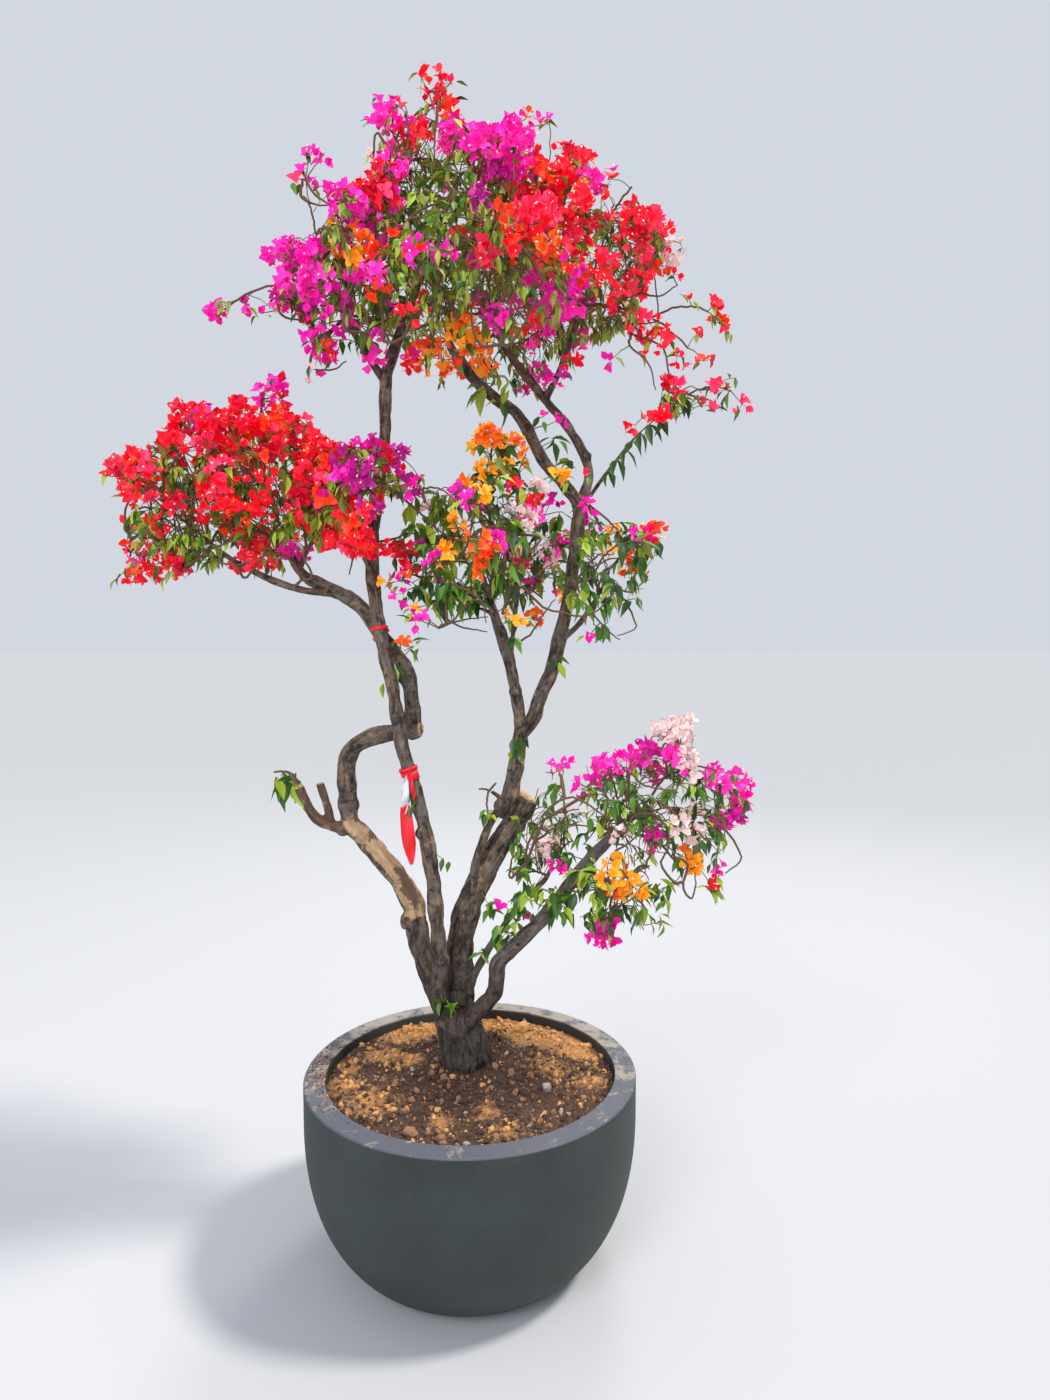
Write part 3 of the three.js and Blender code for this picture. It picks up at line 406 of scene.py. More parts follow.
# Open places, measured alike: the last number is the share of the sprays that stay
OPENINGS = metres(0, 3, [
    (-16, 310, 7, 0.25), (-21, 298, 3, 0.4), (-39, 284, 7, 0.3), (4, 261, 5, 0.5), (-3, 255, 6, 0.45),
    (12, 264, 4, 0.5), (-13, 247, 4, 0.5), (49, 259, 5, 0.4), (55, 250, 8, 0.15), (64, 235, 9, 0.1),
    (-61, 254, 10, 0.3), (50, 256, 8, 0.4), (-84, 200, 7, 0.65), (-92, 201, 4, 0.5), (-61, 191, 7, 0.6),
    (-72, 211, 4, 0.6), (9, 216, 3, 0.5), (-12, 202, 4, 0.5), (-2, 176, 6, 0.45), (19, 176, 8, 0.25),
    (36, 188, 7, 0.4), (39, 202, 6, 0.35), (5, 194, 3, 0.6), (35, 175, 8, 0.3), (31, 117, 7, 0.4),
    (48, 112, 6, 0.45), (49, 103, 4, 0.5), (23, 121, 5, 0.5), (64, 110, 4, 0.5), (45, 127, 4, 0.7),
    (42, 93, 4, 0.5), (-8, 302, 4, 0.1), (-16, 306, 2, 0), (-17, 300, 9, 0.1), (-10, 299, 3, 0.1),
])
# Places outside the plant's outline, measured alike, which nothing may reach
CLEARINGS = metres(0, 3, [
    (-54, 278, 8), (-42, 278, 5), (-32, 294, 7), (-35, 304, 6), (-61, 264, 6), (-56, 245, 7), (-48, 242, 5),
    (-24, 312, 5), (3, 307, 6), (10, 311, 5), (42, 297, 9), (52, 289, 9), (61, 276, 9), (61, 264, 5),
    (52, 256, 5), (24, 304, 6), (34, 239, 4), (-84, 232, 7), (-71, 237, 6), (-60, 241, 7), (-98, 225, 9),
    (-101, 205, 9), (-100, 190, 5), (-41, 232, 6), (-33, 228, 8), (-19, 225, 5), (-47, 242, 5), (-8, 216, 7),
    (-2, 227, 5), (-20, 199, 4), (41, 207, 7), (53, 205, 5), (55, 184, 6), (49, 174, 6), (59, 193, 4),
    (31, 141, 5), (39, 143, 4), (46, 145, 3), (50, 151, 4), (56, 151, 3), (66, 142, 6), (74, 139, 5),
    (80, 132, 4), (77, 113, 5), (72, 106, 3), (46, 83, 4), (62, 92, 5), (27, 88, 3), (-55, 134, 4),
    (2, 129, 4), (-90, 224, 5), (-96, 194, 3), (41, 287, 4), (-54, 262, 3.5), (-48, 249, 3.5),
    (61, 221, 5.5), (45, 233, 4.5), (42, 243, 3.5), (-16, 312, 2.5), (53, 220, 4), (70, 223, 3), (5, 129, 3),
    (-50, 133, 3.5),
])

# Posies that stand by themselves: how many trios, and the place in hundredths of a metre
POSIES = metres(1, 4, {
    "scarlet": [(4, -13, 10, 318), (4, -8, 10, 318), (2, -4, 10, 311), (4, -4, 8, 305), (4, 25, 8, 299),
        (4, 29, 8, 297), (5, 65, 7, 257), (1, 59, 7, 259), (4, 51, 8, 254), (3, 53, 8, 250), (2, 56, 8, 245),
        (1, 47, 9, 245), (2, 52, 8, 247), (3, 44, 10, 280), (4, 49, 10, 282), (4, 52, 10, 278),
        (2, 55, 10, 267), (2, 69, 6, 235), (4, -77, 3, 229), (3, -71, 3, 229), (1, -67, 3, 228),
        (4, -91, 0, 213), (2, -89, 0, 215), (1, -95, 0, 211), (2, -79, -5, 211), (3, -90, 0, 209),
        (2, -89, -2, 205), (3, -84, -2, 186), (3, -79, -2, 189), (4, -56, -2, 187), (1, -52, -2, 187),
        (2, -17, -2, 212), (2, -43, 5, 224), (1, -15, -5, 192), (2, -19, -5, 189), (2, 66, 0, 103)],
    # Posies in the pinker red: painted highlights among the scarlet
    "coral": [(4, -5, 10, 317), (1, -13, 8, 306), (2, -12, 6, 303), (3, -18, 8, 309), (2, -14, 6, 300),
        (2, -45, 2, 288), (2, 61, 7, 250), (3, 63, 7, 243), (2, 57, 7, 244), (3, 49, 10, 270),
        (4, 65, 6, 236), (5, 73, 5, 231), (1, 65, 6, 230), (1, -84, 0, 216), (1, -44, 5, 227),
        (1, 31, 2, 212)],
    # Posies in the darker red: painted shade among the scarlet
    "crimson": [(3, -12, 8, 311), (2, -8, 12, 314), (3, -17, 6, 299), (3, 48, 9, 250), (2, -20, -2, 215),
        (1, 29, -3, 102)],
    "magenta": [(1, -24, 8, 311), (3, -21, 8, 309), (1, -26, 7, 305), (2, -19, 7, 304), (3, 12, 8, 306),
        (3, 19, 8, 305), (3, -2, 0, 296), (3, -42, 3, 294), (3, -39, 3, 293), (2, -43, 2, 290),
        (2, -31, 2, 281), (1, -60, 4, 257), (1, -55, 3, 254), (3, -47, 0, 270), (3, -48, 0, 262),
        (3, -9, -20, 259), (2, -23, -10, 244), (2, -40, -5, 245), (3, 38, 10, 244), (4, 25, 10, 240),
        (1, 20, 10, 229), (2, 24, 10, 228), (3, 6, -10, 251), (3, 10, -10, 248), (3, 25, -5, 255),
        (4, -55, 3, 232), (1, -15, -2, 209), (1, -13, -2, 210), (2, -30, -2, 218), (1, -12, -5, 192),
        (4, -18, -5, 183), (3, -17, -5, 180), (3, -14, -5, 173), (2, -11, -5, 173), (3, 30, 2, 203),
        (2, 33, 2, 201), (1, 32, 8, 168), (2, 22, 2, 134), (2, 25, 2, 134), (4, 24, -3, 108),
        (2, 25, -3, 106), (3, 33, -16, 93), (3, 35, -16, 93), (2, 37, -16, 95), (2, 67, 0, 105),
        (1, 8, 5, 94), (1, 16, 2, 92), (3, 50, -5, 116)],
    "hot_pink": [(2, -20, 7, 306), (1, 21, 9, 307), (4, 1, 0, 299), (4, 4, 0, 298), (3, 38, 8, 291),
        (2, 33, 6, 290), (2, -37, 2, 284), (3, -67, 4, 256), (2, 27, -5, 257), (5, -52, 3, 236),
        (4, -50, 3, 232)],
    "pale": [(1, -26, 5, 295), (2, 17, 6, 301), (3, -41, 0, 239), (2, 53, 10, 274), (2, 57, 10, 275),
        (1, 55, 10, 271), (1, 12, -10, 250), (4, 56, 0, 145), (3, 58, 0, 143), (2, 51, 0, 143),
        (3, 57, 0, 140), (3, 27, 2, 122), (3, 20, 2, 113), (3, 57, -8, 120), (3, 54, -8, 121)],
    "orange": [(2, 15, 7, 306), (2, -31, -14, 261), (3, -9, -10, 239), (2, -7, -12, 241), (3, 1, -10, 241),
        (3, 4, -8, 237), (2, 6, -10, 239), (2, 0, -15, 246), (1, 10, -10, 244), (1, -16, -5, 184),
        (1, 8, 0, 211), (3, 35, -20, 104), (2, 57, -5, 112), (2, -23, 2, 163), (2, -19, 4, 167)],
    "orange_red": [(2, 5, -8, 291), (1, -2, -8, 237), (3, -87, -2, 186), (3, 51, 8, 199), (4, 43, 8, 189),
        (3, 46, 8, 187)],
    "purple": [(1, -40, 2, 285), (2, -43, -5, 252), (1, -87, -2, 188)],
    "amber": [(2, -34, 2, 283), (2, -34, -12, 265), (2, -25, -14, 263), (1, -40, -10, 262),
        (2, -3, -15, 245), (2, -23, -4, 183), (1, -14, -5, 176), (4, 4, 0, 221), (3, 1, 0, 218),
        (3, 7, 0, 220), (3, 9, 0, 218), (2, 12, 0, 219), (3, 15, 0, 217), (2, 8, 0, 214), (2, 11, 0, 214),
        (3, 23, 2, 212), (3, 26, 2, 211), (3, 38, 8, 197), (3, 39, 8, 192), (3, 12, -5, 173),
        (5, 37, -22, 112), (4, 41, -22, 110), (3, 39, -20, 104), (2, 60, -5, 109), (5, 0, 0, 209),
        (4, 4, 0, 211), (4, -4, -5, 198), (3, -1, -5, 196)],
})
POSY_LEAVES = (1, 3)
POSY_LEAF_SIZE = 0.62
POSY_ARCH = (-0.1, 0.25)
STALK_RADII = (0.0018, 0.0011)
# Tufts of leaves that stand by themselves: how many, their size, and the place in millimetres
TUFT_SHARES = {"dark": 0.3, "fresh": 0.4, "light": 0.3}
TUFTS = metres(2, 5, [
    (5, 0.7, -150, -30, 1250), (2, 0.7, -70, -20, 1085), (5, 0.8, -76, 0, 690), (4, 0.75, -36, 0, 672),
    (6, 0.85, 131, 120, 1400), (5, 0.85, 122, 120, 1360), (6, 0.8, -200, 20, 1615), (5, 0.8, -155, 40, 1660),
    (4, 0.8, -230, 50, 1570), (5, 0.75, 20, 60, 810), (6, 0.8, 68, 80, 845), (5, 0.75, 51, 50, 940),
    (5, 0.75, 134, 20, 940), (6, 0.85, 150, 60, 985), (6, 0.85, 205, -50, 1015), (5, 1.1, 79, 110, 2335),
    (4, 1, 30, 100, 2360), (4, 0.9, 250, 160, 2150), (4, 0.8, 235, 160, 1620), (5, 1.5, -530, 70, 1300),
    (4, 1.3, -500, 70, 1290), (7, 0.6, 40, 90, 1200), (3, 1, -160, -30, 2040), (3, 1, -140, -30, 2040),
    (5, 1.15, -140, -30, 1970), (3, 1.1, -100, -30, 1970), (3, 1.2, -170, -30, 1940),
    (6, 1.1, -60, -40, 1820), (5, 1.1, -30, -40, 1790), (6, 1, -120, -30, 1810), (5, 1, -80, -30, 1770),
    (3, 1, 320, 60, 1900), (4, 1, 320, 60, 1820), (3, 0.9, 430, 60, 1850), (3, 0.9, 450, 60, 1790),
    (4, 1, 510, 80, 1950), (5, 0.9, 230, 100, 2230), (2, 1, 140, 0, 2130), (2, 1, 100, 0, 2090),
    (3, 0.9, 40, 0, 2160), (3, 1, 110, -30, 1700), (4, 0.9, 310, 50, 1960), (3, 0.9, 380, 60, 1790),
    (6, 0.9, 280, 100, 2160), (6, 0.9, 220, -30, 990), (5, 0.9, 250, -30, 960), (6, 0.85, 170, 0, 1010),
    (4, 0.8, 140, 0, 1040), (4, 1, 310, -40, 1070), (5, 0.85, 340, -150, 990), (4, 0.85, 370, -150, 1000),
    (6, 0.8, 480, -50, 1020), (5, 0.8, 510, -50, 1030), (5, 0.8, 540, -50, 1020), (2, 0.8, 500, -50, 960),
    (7, 0.85, 650, 0, 1010), (4, 0.8, 230, 0, 1280), (5, 0.8, 320, -30, 1280), (5, 0.8, 360, -50, 1310),
    (5, 0.8, 410, -50, 1300), (5, 0.8, 240, 0, 1100), (4, 0.8, 270, 0, 1100), (5, 0.85, 80, 30, 890),
    (5, 0.85, 100, 20, 860), (6, 0.85, 140, 20, 950), (6, 1, 300, -80, 1070), (6, 0.95, 270, -90, 1020),
    (6, 0.95, 230, -90, 1010), (6, 0.95, 220, -90, 970), (5, 0.9, 150, -30, 990), (5, 0.9, 110, 0, 870),
    (5, 0.95, 250, -100, 990), (5, 0.9, 120, -20, 920),
], 1000)

# Arching twigs by region, in hundredths of a metre: how far back, then pairs of across and up
ARCHES = {
    "low": [(-14, 19, 122, 22, 126, 27, 128, 32, 125, 36, 122, 38, 119),
        (-10, 15, 110, 16, 116, 18, 120, 24, 123, 29, 124), (-6, 11, 105, 11, 109, 13, 112),
        (-18, 45, 111, 47, 117, 47, 121), (-10, 65, 120, 70, 114, 71, 111, 67, 107),
        (-16, 56, 111, 55, 105, 57, 102, 58, 105, 58, 109), (-16, 40, 119, 42, 123, 46, 124, 50, 122),
        (-20, 41, 135, 44, 132, 47, 131, 53, 130), (-12, 34, 117, 35, 122, 36, 127, 34, 130),
        (-8, 24, 133, 25, 128, 22, 124), (-12, 37, 112, 42, 116, 50, 125), (-20, 48, 128, 53, 124, 59, 119),
        (-10, 18, 116, 22, 119, 28, 120, 34, 119), (-18, 52, 107, 49, 112, 51, 116, 49, 120),
        (-6, 24, 102, 29, 101, 35, 102)],
    "centre": [(-6, -20, 207, -13, 201, -6, 195, 0, 193), (0, -22, 194, -16, 196, -11, 196),
        (-8, -5, 172, -1, 176, 3, 179), (-10, -3, 182, 1, 180, 4, 177, 5, 172),
        (0, 15, 181, 19, 177, 25, 175, 31, 174, 36, 177, 38, 181), (4, 12, 167, 16, 169, 20, 175, 23, 179),
        (8, 29, 183, 32, 177, 38, 170, 41, 168), (4, 32, 204, 37, 200, 40, 197, 40, 194),
        (6, 40, 181, 43, 177, 45, 171, 40, 169), (-6, 19, 194, 15, 190, 12, 185, 9, 175),
        (-4, 9, 175, 12, 180, 17, 184, 22, 188), (6, 30, 186, 34, 188, 39, 190, 43, 190),
        (-4, -8, 171, -2, 173, 5, 174), (-4, -6, 173, -1, 171, 5, 170),
        (-10, 2, 194, 4, 196, 9, 196, 12, 194), (-6, -8, 184, -8, 178, -7, 172),
        (-6, 9, 175, 10, 180, 9, 185, 5, 189), (-10, -11, 206, -7, 206, -4, 204),
        (0, 12, 211, 9, 208, 9, 204), (6, 32, 188, 35, 191, 39, 191), (-2, -14, 185, -10, 190, -7, 191)],
    "crown": [(-20, -19, 239, -19, 250, -15, 258, -9, 262, -4, 265),
        (-18, -8, 241, -7, 251, -5, 257, -7, 264), (-22, -1, 244, -4, 249, -6, 257, -11, 263),
        (-20, 10, 238, 16, 246, 17, 253, 13, 259, 5, 262), (-24, 19, 252, 14, 260, 10, 264, 2, 266, -5, 268),
        (-20, 25, 250, 19, 258, 13, 262), (-14, -24, 245, -22, 254, -17, 262, -14, 268),
        (-12, -26, 239, -23, 249, -23, 258), (-22, -15, 239, -9, 247, -1, 250, 5, 252),
        (-22, 4, 238, 2, 246, 5, 254, 4, 260), (2, -44, 284, -41, 282, -35, 281),
        (2, -43, 288, -40, 284, -35, 280, -34, 277), (4, -8, 309, -9, 299, -9, 294),
        (4, -24, 301, -25, 294, -22, 289), (10, 47, 262, 51, 261, 56, 264),
        (8, 43, 251, 52, 247, 55, 237, 63, 233), (4, -50, 254, -45, 253, -43, 257),
        (0, -41, 239, -35, 239, -32, 241), (-24, -2, 273, -4, 268, -1, 263, 5, 260),
        (-20, -13, 268, -8, 271, -1, 271, 8, 265), (-18, -29, 243, -28, 251, -23, 258, -19, 266),
        (-20, 16, 243, 11, 250, 8, 258), (-16, -12, 244, -14, 253, -12, 262, -14, 270),
        (6, 43, 247, 48, 242, 50, 235)],
    "left": [(-6, -73, 187, -67, 191, -59, 194, -54, 194),
        (-8, -68, 191, -66, 189, -61, 187, -53, 189, -50, 191), (-2, -78, 185, -76, 189, -70, 193, -63, 195),
        (-4, -78, 191, -80, 198, -78, 204, -73, 207, -67, 206), (2, -92, 197, -92, 203, -89, 207, -84, 209),
        (-4, -44, 184, -47, 189, -53, 191, -57, 192), (-4, -73, 187, -70, 191, -71, 196),
        (-2, -39, 217, -36, 218, -34, 217), (0, -31, 196, -31, 189, -32, 185),
        (-10, -75, 202, -72, 207, -68, 211, -62, 211), (-8, -71, 205, -70, 209, -72, 211),
        (2, -91, 196, -91, 191, -92, 188), (2, -90, 192, -88, 189, -83, 187),
        (-6, -58, 184, -53, 190, -51, 196, -57, 199), (-4, -41, 184, -43, 190, -40, 195),
        (-6, -82, 200, -78, 199, -73, 195, -69, 196), (-8, -59, 218, -58, 214, -56, 212)],
}
ARCH_RADII = (0.0042, 0.0016)
ARCH_STEPS = 14

# The arching shoot: shares down its limb and its stem that bear a pair of drooping leaves
SHOOT_ROW = (0.62, 0.78, 0.92)
STEM_ROW = (0.1, 0.3, 0.48, 0.64, 0.8, 0.95)

# Ribbon: each band's limb, share along it, width and size over the bark, and each tail's ends and width
RIBBON_BANDS = [
    ("bough_middle", 0.388, 0.026, 1.14), ("bough_middle", 0.398, 0.01, 1.24),
    ("bough_middle", 0.602, 0.011, 1.2), ("bough_left_upper", 0.5, 0.011, 1.2),
]
RIBBON_TAILS = [
    ("white", (-0.172, -0.028, 1.312), (-0.172, -0.034, 1.215), 0.022),
    ("red", (-0.172, -0.032, 1.236), (-0.156, -0.036, 1.078), 0.038),
    ("red", (-0.16, -0.028, 1.33), (-0.148, -0.03, 1.25), 0.012),
]
RIBBON_TINTS = {"white": (212, 214, 224), "red": (228, 18, 38)}
RIBBON_THICKNESS = 0.0008

# Bark: the step along a limb and of the remesh, the limbs of the lower piece, and the sawn ones
LIMB_STEP = 0.006
BARK_STEP = 0.0037
LOWER_LIMBS = (
    "trunk", "bough_right_lower", "bough_middle", "bough_left_lower", "bough_left_hook", "stub_left_outer",
    "stub_left_inner", "bough_low_right", "bough_low_thin", "bough_right_side",
)
SAWN = ("bough_right_lower", "bough_left_hook", "stub_left_inner", "stub_left_outer", "bough_right_side")
# Peeled bark, its tan partly painted sunlight, and ashy or ruddy bark: the limb, from and to as shares of its
# length, and how far it goes
TINGES = {
    "peel": [
        ("bough_left_lower", 0.3, 1.0, 1.0), ("bough_left_hook", -0.2, 0.3, 0.4),
        ("bough_right_lower", 0.4, 0.95, 0.5), ("bough_right_side", 0.8, 1.0, 0.9),
        ("bough_low_right", 0.2, 0.5, 0.5), ("bough_right_upper", 0.1, 0.9, 0.45),
        ("bough_middle", 0.05, 0.3, 0.3),
    ],
    "ash": [("bough_low_right", 0.3, 1.2, 0.6), ("bough_low_thin", 0, 1.2, 0.4)],
    "ruddy": [("stub_left_outer", -0.1, 1.2, 0.55), ("stub_left_inner", -0.1, 1.2, 0.55)],
}
TINGE_FADE = 0.14
# Knots and collars: the limb, the share along it, and the step in X and Y and the size in millimetres
KNOTS = metres(2, 5, [
    ("bough_low_right", 0.03, 6, -8, 37), ("bough_right_lower", 0.5, -12, -22, 26),
    ("bough_left_lower", 0.36, -12, -8, 34), ("bough_left_lower", 0.75, 0, -12, 26),
    ("bough_left_lower", 0.97, 0, 0, 31), ("bough_left_hook", 0.62, 0, -10, 22),
    ("bough_left_hook", 0.93, 6, 0, 28), ("bough_middle", 0.16, 8, -8, 21),
    ("bough_middle", 0.31, -8, -6, 20), ("bough_middle", 0.47, 6, -8, 20),
    ("bough_right_side", 0.98, 0, -4, 20), ("stub_left_outer", 0.12, 0, -4, 22),
    ("bough_right_lower", 0.9, -6, 0, 37), ("bough_right_upper", 0.42, 4, -10, 20),
    ("bough_right_upper", 0.97, 0, 0, 24), ("crown_bough_front", 0.45, 0, -8, 17),
    ("crown_bough_back", 0.4, 6, -6, 16), ("bough_left_upper", 0.3, -6, -6, 24),
    ("bough_left_upper", 0.72, 0, -8, 22), ("bough_centre", 0.4, 0, -6, 19),
], 1000)


def linear(value):
    """One colour channel from 0 to 255 as the shader's linear value"""
    share = value / 255
    return share / 12.92 if share <= 0.04045 else ((share + 0.055) / 1.055) ** 2.4


def colour(channels):
    return (*[linear(value) for value in channels], 1)


def mix(low, high, share):
    return low + (high - low) * share


def smooth_share(low, high, value):
    share = min(max((value - low) / (high - low), 0), 1)
    return share * share * (3 - 2 * share)


def seeded(seed):
    """Park and Miller's generator, so that the twigs are the source's own"""
    state = seed

    def draw():
        nonlocal state
        state = state * 16807 % 2147483647
        return state / 2147483647

    return draw


def unit(dice):
    return Vector(dice.normal(size=3)).normalized()


def along(values, share):
    place = share * (len(values) - 1)
    first = min(int(place), len(values) - 2)
    return mix(values[first], values[first + 1], place - first)


def spline_axis(x0, x1, x2, x3, d0, d1, d2, share):
    """One axis of a centripetal Catmull-Rom spline"""
    t1 = ((x1 - x0) / d0 - (x2 - x0) / (d0 + d1) + (x2 - x1) / d1) * d1
    t2 = ((x2 - x1) / d1 - (x3 - x1) / (d1 + d2) + (x3 - x2) / d2) * d1
    second = -3 * x1 + 3 * x2 - 2 * t1 - t2
    third = 2 * x1 - 2 * x2 + t1 + t2
    return x1 + t1 * share + second * share**2 + third * share**3


def curve_point(points, share):
    last = len(points) - 1
    place = share * last
    first = min(int(place), last - 1)
    p1, p2 = Vector(points[first]), Vector(points[first + 1])
    p0 = Vector(points[first - 1]) if first > 0 else 2 * p1 - p2
    p3 = Vector(points[first + 2]) if first + 2 <= last else 2 * p2 - p1
    spans = [math.sqrt((a - b).length) for a, b in ((p0, p1), (p1, p2), (p2, p3))]
    return Vector([spline_axis(*axis, *spans, place - first) for axis in zip(p0, p1, p2, p3)])


def curve_heading(points, share):
    step = 0.0001
    ahead, behind = min(share + step, 1), max(share - step, 0)
    return (curve_point(points, ahead) - curve_point(points, behind)).normalized()


def bezier(start, bend, tip, share):
    left = 1 - share
    return start * left * left + bend * 2 * left * share + tip * share * share


def bezier_heading(start, bend, tip, share):
    return ((bend - start) * (1 - share) + (tip - bend) * share).normalized()


def named(rows, name):
    return next(row for row in rows if row["name"] == name)


def choose(shares, dice):
    names = list(shares)
    weights = np.array([shares[name] for name in names])
    return names[int(dice.choice(len(names), p=weights / weights.sum()))]


# Pieces


def make_active(*pieces):
    """Selects these pieces only, the first of them active, or clears the selection"""
    if bpy.context.object and bpy.context.object.mode != "OBJECT":
        bpy.ops.object.mode_set(mode="OBJECT")
    bpy.ops.object.select_all(action="DESELECT")
    for piece in pieces:
        piece.select_set(True)
    if pieces:
        bpy.context.view_layer.objects.active = pieces[0]


def apply_modifier(piece, kind, **settings):
    make_active(piece)
    modifier = piece.modifiers.new(kind.lower(), kind)
    for name, value in settings.items():
        setattr(modifier, name, value)
    bpy.ops.object.modifier_apply(modifier=modifier.name)


def join_pieces(pieces):
    make_active(*pieces)
    bpy.ops.object.join()
    return bpy.context.object


def edit_all(*steps):
    """Runs steps in edit mode, each on the whole of the active piece"""
    bpy.ops.object.mode_set(mode="EDIT")
    for step in steps:
        bpy.ops.mesh.select_all(action="SELECT")
        step()
    bpy.ops.object.mode_set(mode="OBJECT")
    return bpy.context.object


def add_shape(operator, **settings):
    """A basic shape with its place and turn in its mesh"""
    make_active()
    operator(**settings)
    bpy.ops.object.transform_apply(location=True, rotation=True, scale=True)
    return bpy.context.object


def read_vectors(items, name):
    values = np.empty(len(items) * 3)
    items.foreach_get(name, values)
    return values.reshape(-1, 3)


def set_layer(mesh, name, values):
    """A number or a vector at each vertex, which the materials read"""
    kind, part = ("FLOAT", "value") if np.ndim(values) == 1 else ("FLOAT_VECTOR", "vector")
    mesh.attributes.new(name, kind, "POINT").data.foreach_set(part, np.asarray(values, float).ravel())


def take_model(*steps):
    """The arrays of the active piece in triangles, after some steps; the piece is deleted"""
    piece = edit_all(*steps, bpy.ops.mesh.quads_convert_to_tris)
    places = read_vectors(piece.data.vertices, "co")
    faces = np.array([tuple(face.vertices) for face in piece.data.polygons])
    bpy.data.objects.remove(piece)
    return places, faces


def add_object(name, data):
    piece = bpy.data.objects.new(name, data)
    bpy.context.scene.collection.objects.link(piece)
    return piece


def mesh_piece(places, faces):
    """An object from arrays of places and of triangles"""
    mesh = bpy.data.meshes.new("piece")
    mesh.vertices.add(len(places))
    mesh.vertices.foreach_set("co", np.ascontiguousarray(places, dtype=np.float32).ravel())
    mesh.loops.add(faces.size)
    mesh.loops.foreach_set("vertex_index", np.ascontiguousarray(faces, dtype=np.int32).ravel())
    mesh.polygons.add(len(faces))
    mesh.polygons.foreach_set("loop_start", np.arange(0, faces.size, 3, dtype=np.int32))
    mesh.update(calc_edges=True)
    mesh.validate()
    return add_object("piece", mesh)


def scatter(models, rows):
    """Joins a copy of its model at each row's place, turned and sized"""
    places, faces, count = [], [], 0
    for index, (shape, triangles) in enumerate(models):
        mine = [row for row in rows if row[5] == index]
        if not mine:
            continue
        roots, *axes, sizes, _ = [np.array(column) for column in zip(*mine)]
        turned = np.einsum("vk,nkc->nvc", shape, np.stack(axes, axis=1))
        places.append((turned * sizes[:, None, None] + roots[:, None]).reshape(-1, 3))
        steps = count + np.arange(len(mine)) * len(shape)
        faces.append((triangles[None] + steps[:, None, None]).reshape(-1, 3))
        count += len(mine) * len(shape)
    return mesh_piece(np.concatenate(places), np.concatenate(faces))


def curve_piece(runs, sides):
    """One curve object of many tapered runs, made a mesh"""
    data = bpy.data.curves.new("runs", "CURVE")
    data.dimensions = "3D"
    data.bevel_depth = 1
    data.bevel_resolution = sides
    data.use_fill_caps = True
    for points, radii in runs:
        spline = data.splines.new("POLY")
        spline.points.add(len(points) - 1)
        spline.points.foreach_set("co", [value for point in points for value in (*point, 1)])
        spline.points.foreach_set("radius", radii)
    make_active(add_object("runs", data))
    bpy.ops.object.convert(target="MESH")
    return bpy.context.object


def finish_piece(piece, name, material, nodes=(), smooth=True):
    piece.name = name
    piece.data.name = name
    piece.data.materials.clear()
    piece.data.materials.append(material)
    piece.data.polygons.foreach_set("use_smooth", [smooth] * len(piece.data.polygons))
    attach(piece, BODY)
    if nodes:
        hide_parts(*nodes)


# Materials


class Surface:
    """A procedural material, with short ways to add its nodes"""

    def __init__(self, name, roughness):
        self.material = bpy.data.materials.new(name)
        self.material.use_nodes = True
        self.tree = self.material.node_tree
        self.shader = self.tree.nodes["Principled BSDF"]
        self.feed(self.shader.inputs["Roughness"], roughness)
        self.where = self.node("TexCoord", "Object", {})

    def feed(self, socket, value):
        """Gives a socket a node's output, a colour's channels or a number"""
        if isinstance(value, bpy.types.NodeSocket):
            self.tree.links.new(value, socket)
        else:
            socket.default_value = colour(value) if isinstance(value, tuple) else value

    def node(self, kind, output, fed, **settings):
        """An output of a new node, with its inputs fed and its settings made"""
        made = self.tree.nodes.new("ShaderNode" + kind)
        for name, value in settings.items():
            setattr(made, name, value)
        for name, value in fed.items():
            self.feed(made.inputs[name], value)
        return made.outputs[output]

    def attribute(self, name, output="Fac"):
        return self.node("Attribute", output, {}, attribute_name=name)

    def axis(self, name):
        return self.node("SeparateXYZ", name, {0: self.where})

    def noise(self, scale, detail=4, rough=0.55, where=None, warp=0):
        grain = {"Scale": scale, "Detail": detail, "Roughness": rough, "Distortion": warp}
        return self.node("TexNoise", "Fac", {**grain, "Vector": where or self.where})

    def spread(self, source, low, high, least=0, most=1):
        ends = {"From Min": low, "From Max": high, "To Min": least, "To Max": most}
        return self.node("MapRange", "Result", {**ends, "Value": source})

    def sum(self, first, second, how="ADD"):
        return self.node("Math", 0, {0: first, 1: second}, operation=how)

    def blend(self, share, first, second):
        """Between two colours, each a socket or three channels"""
        return self.node("Mix", 2, {0: share, 6: first, 7: second}, data_type="RGBA")

    def wash(self, base, source, low, high, tint, most=1):
        """A base colour with a tint over it where the source lies past low, in full from high on"""
        return self.blend(self.spread(source, low, high, 0, most), base, tint)

    def tinge(self, base, name, source, low, high, tint):
        """A tint where a layer and the grain together pass low"""
        return self.wash(base, self.sum(self.attribute(name), source), low, high, tint)

    def bump(self, height, strength, distance):
        relief = {"Strength": strength, "Distance": distance, "Height": height}
        self.feed(self.shader.inputs["Normal"], self.node("Bump", "Normal", relief))

    def show(self, base, rough=None):
        self.feed(self.shader.inputs["Base Color"], base)
        if rough is not None:
            self.feed(self.shader.inputs["Roughness"], rough)
        return self.material


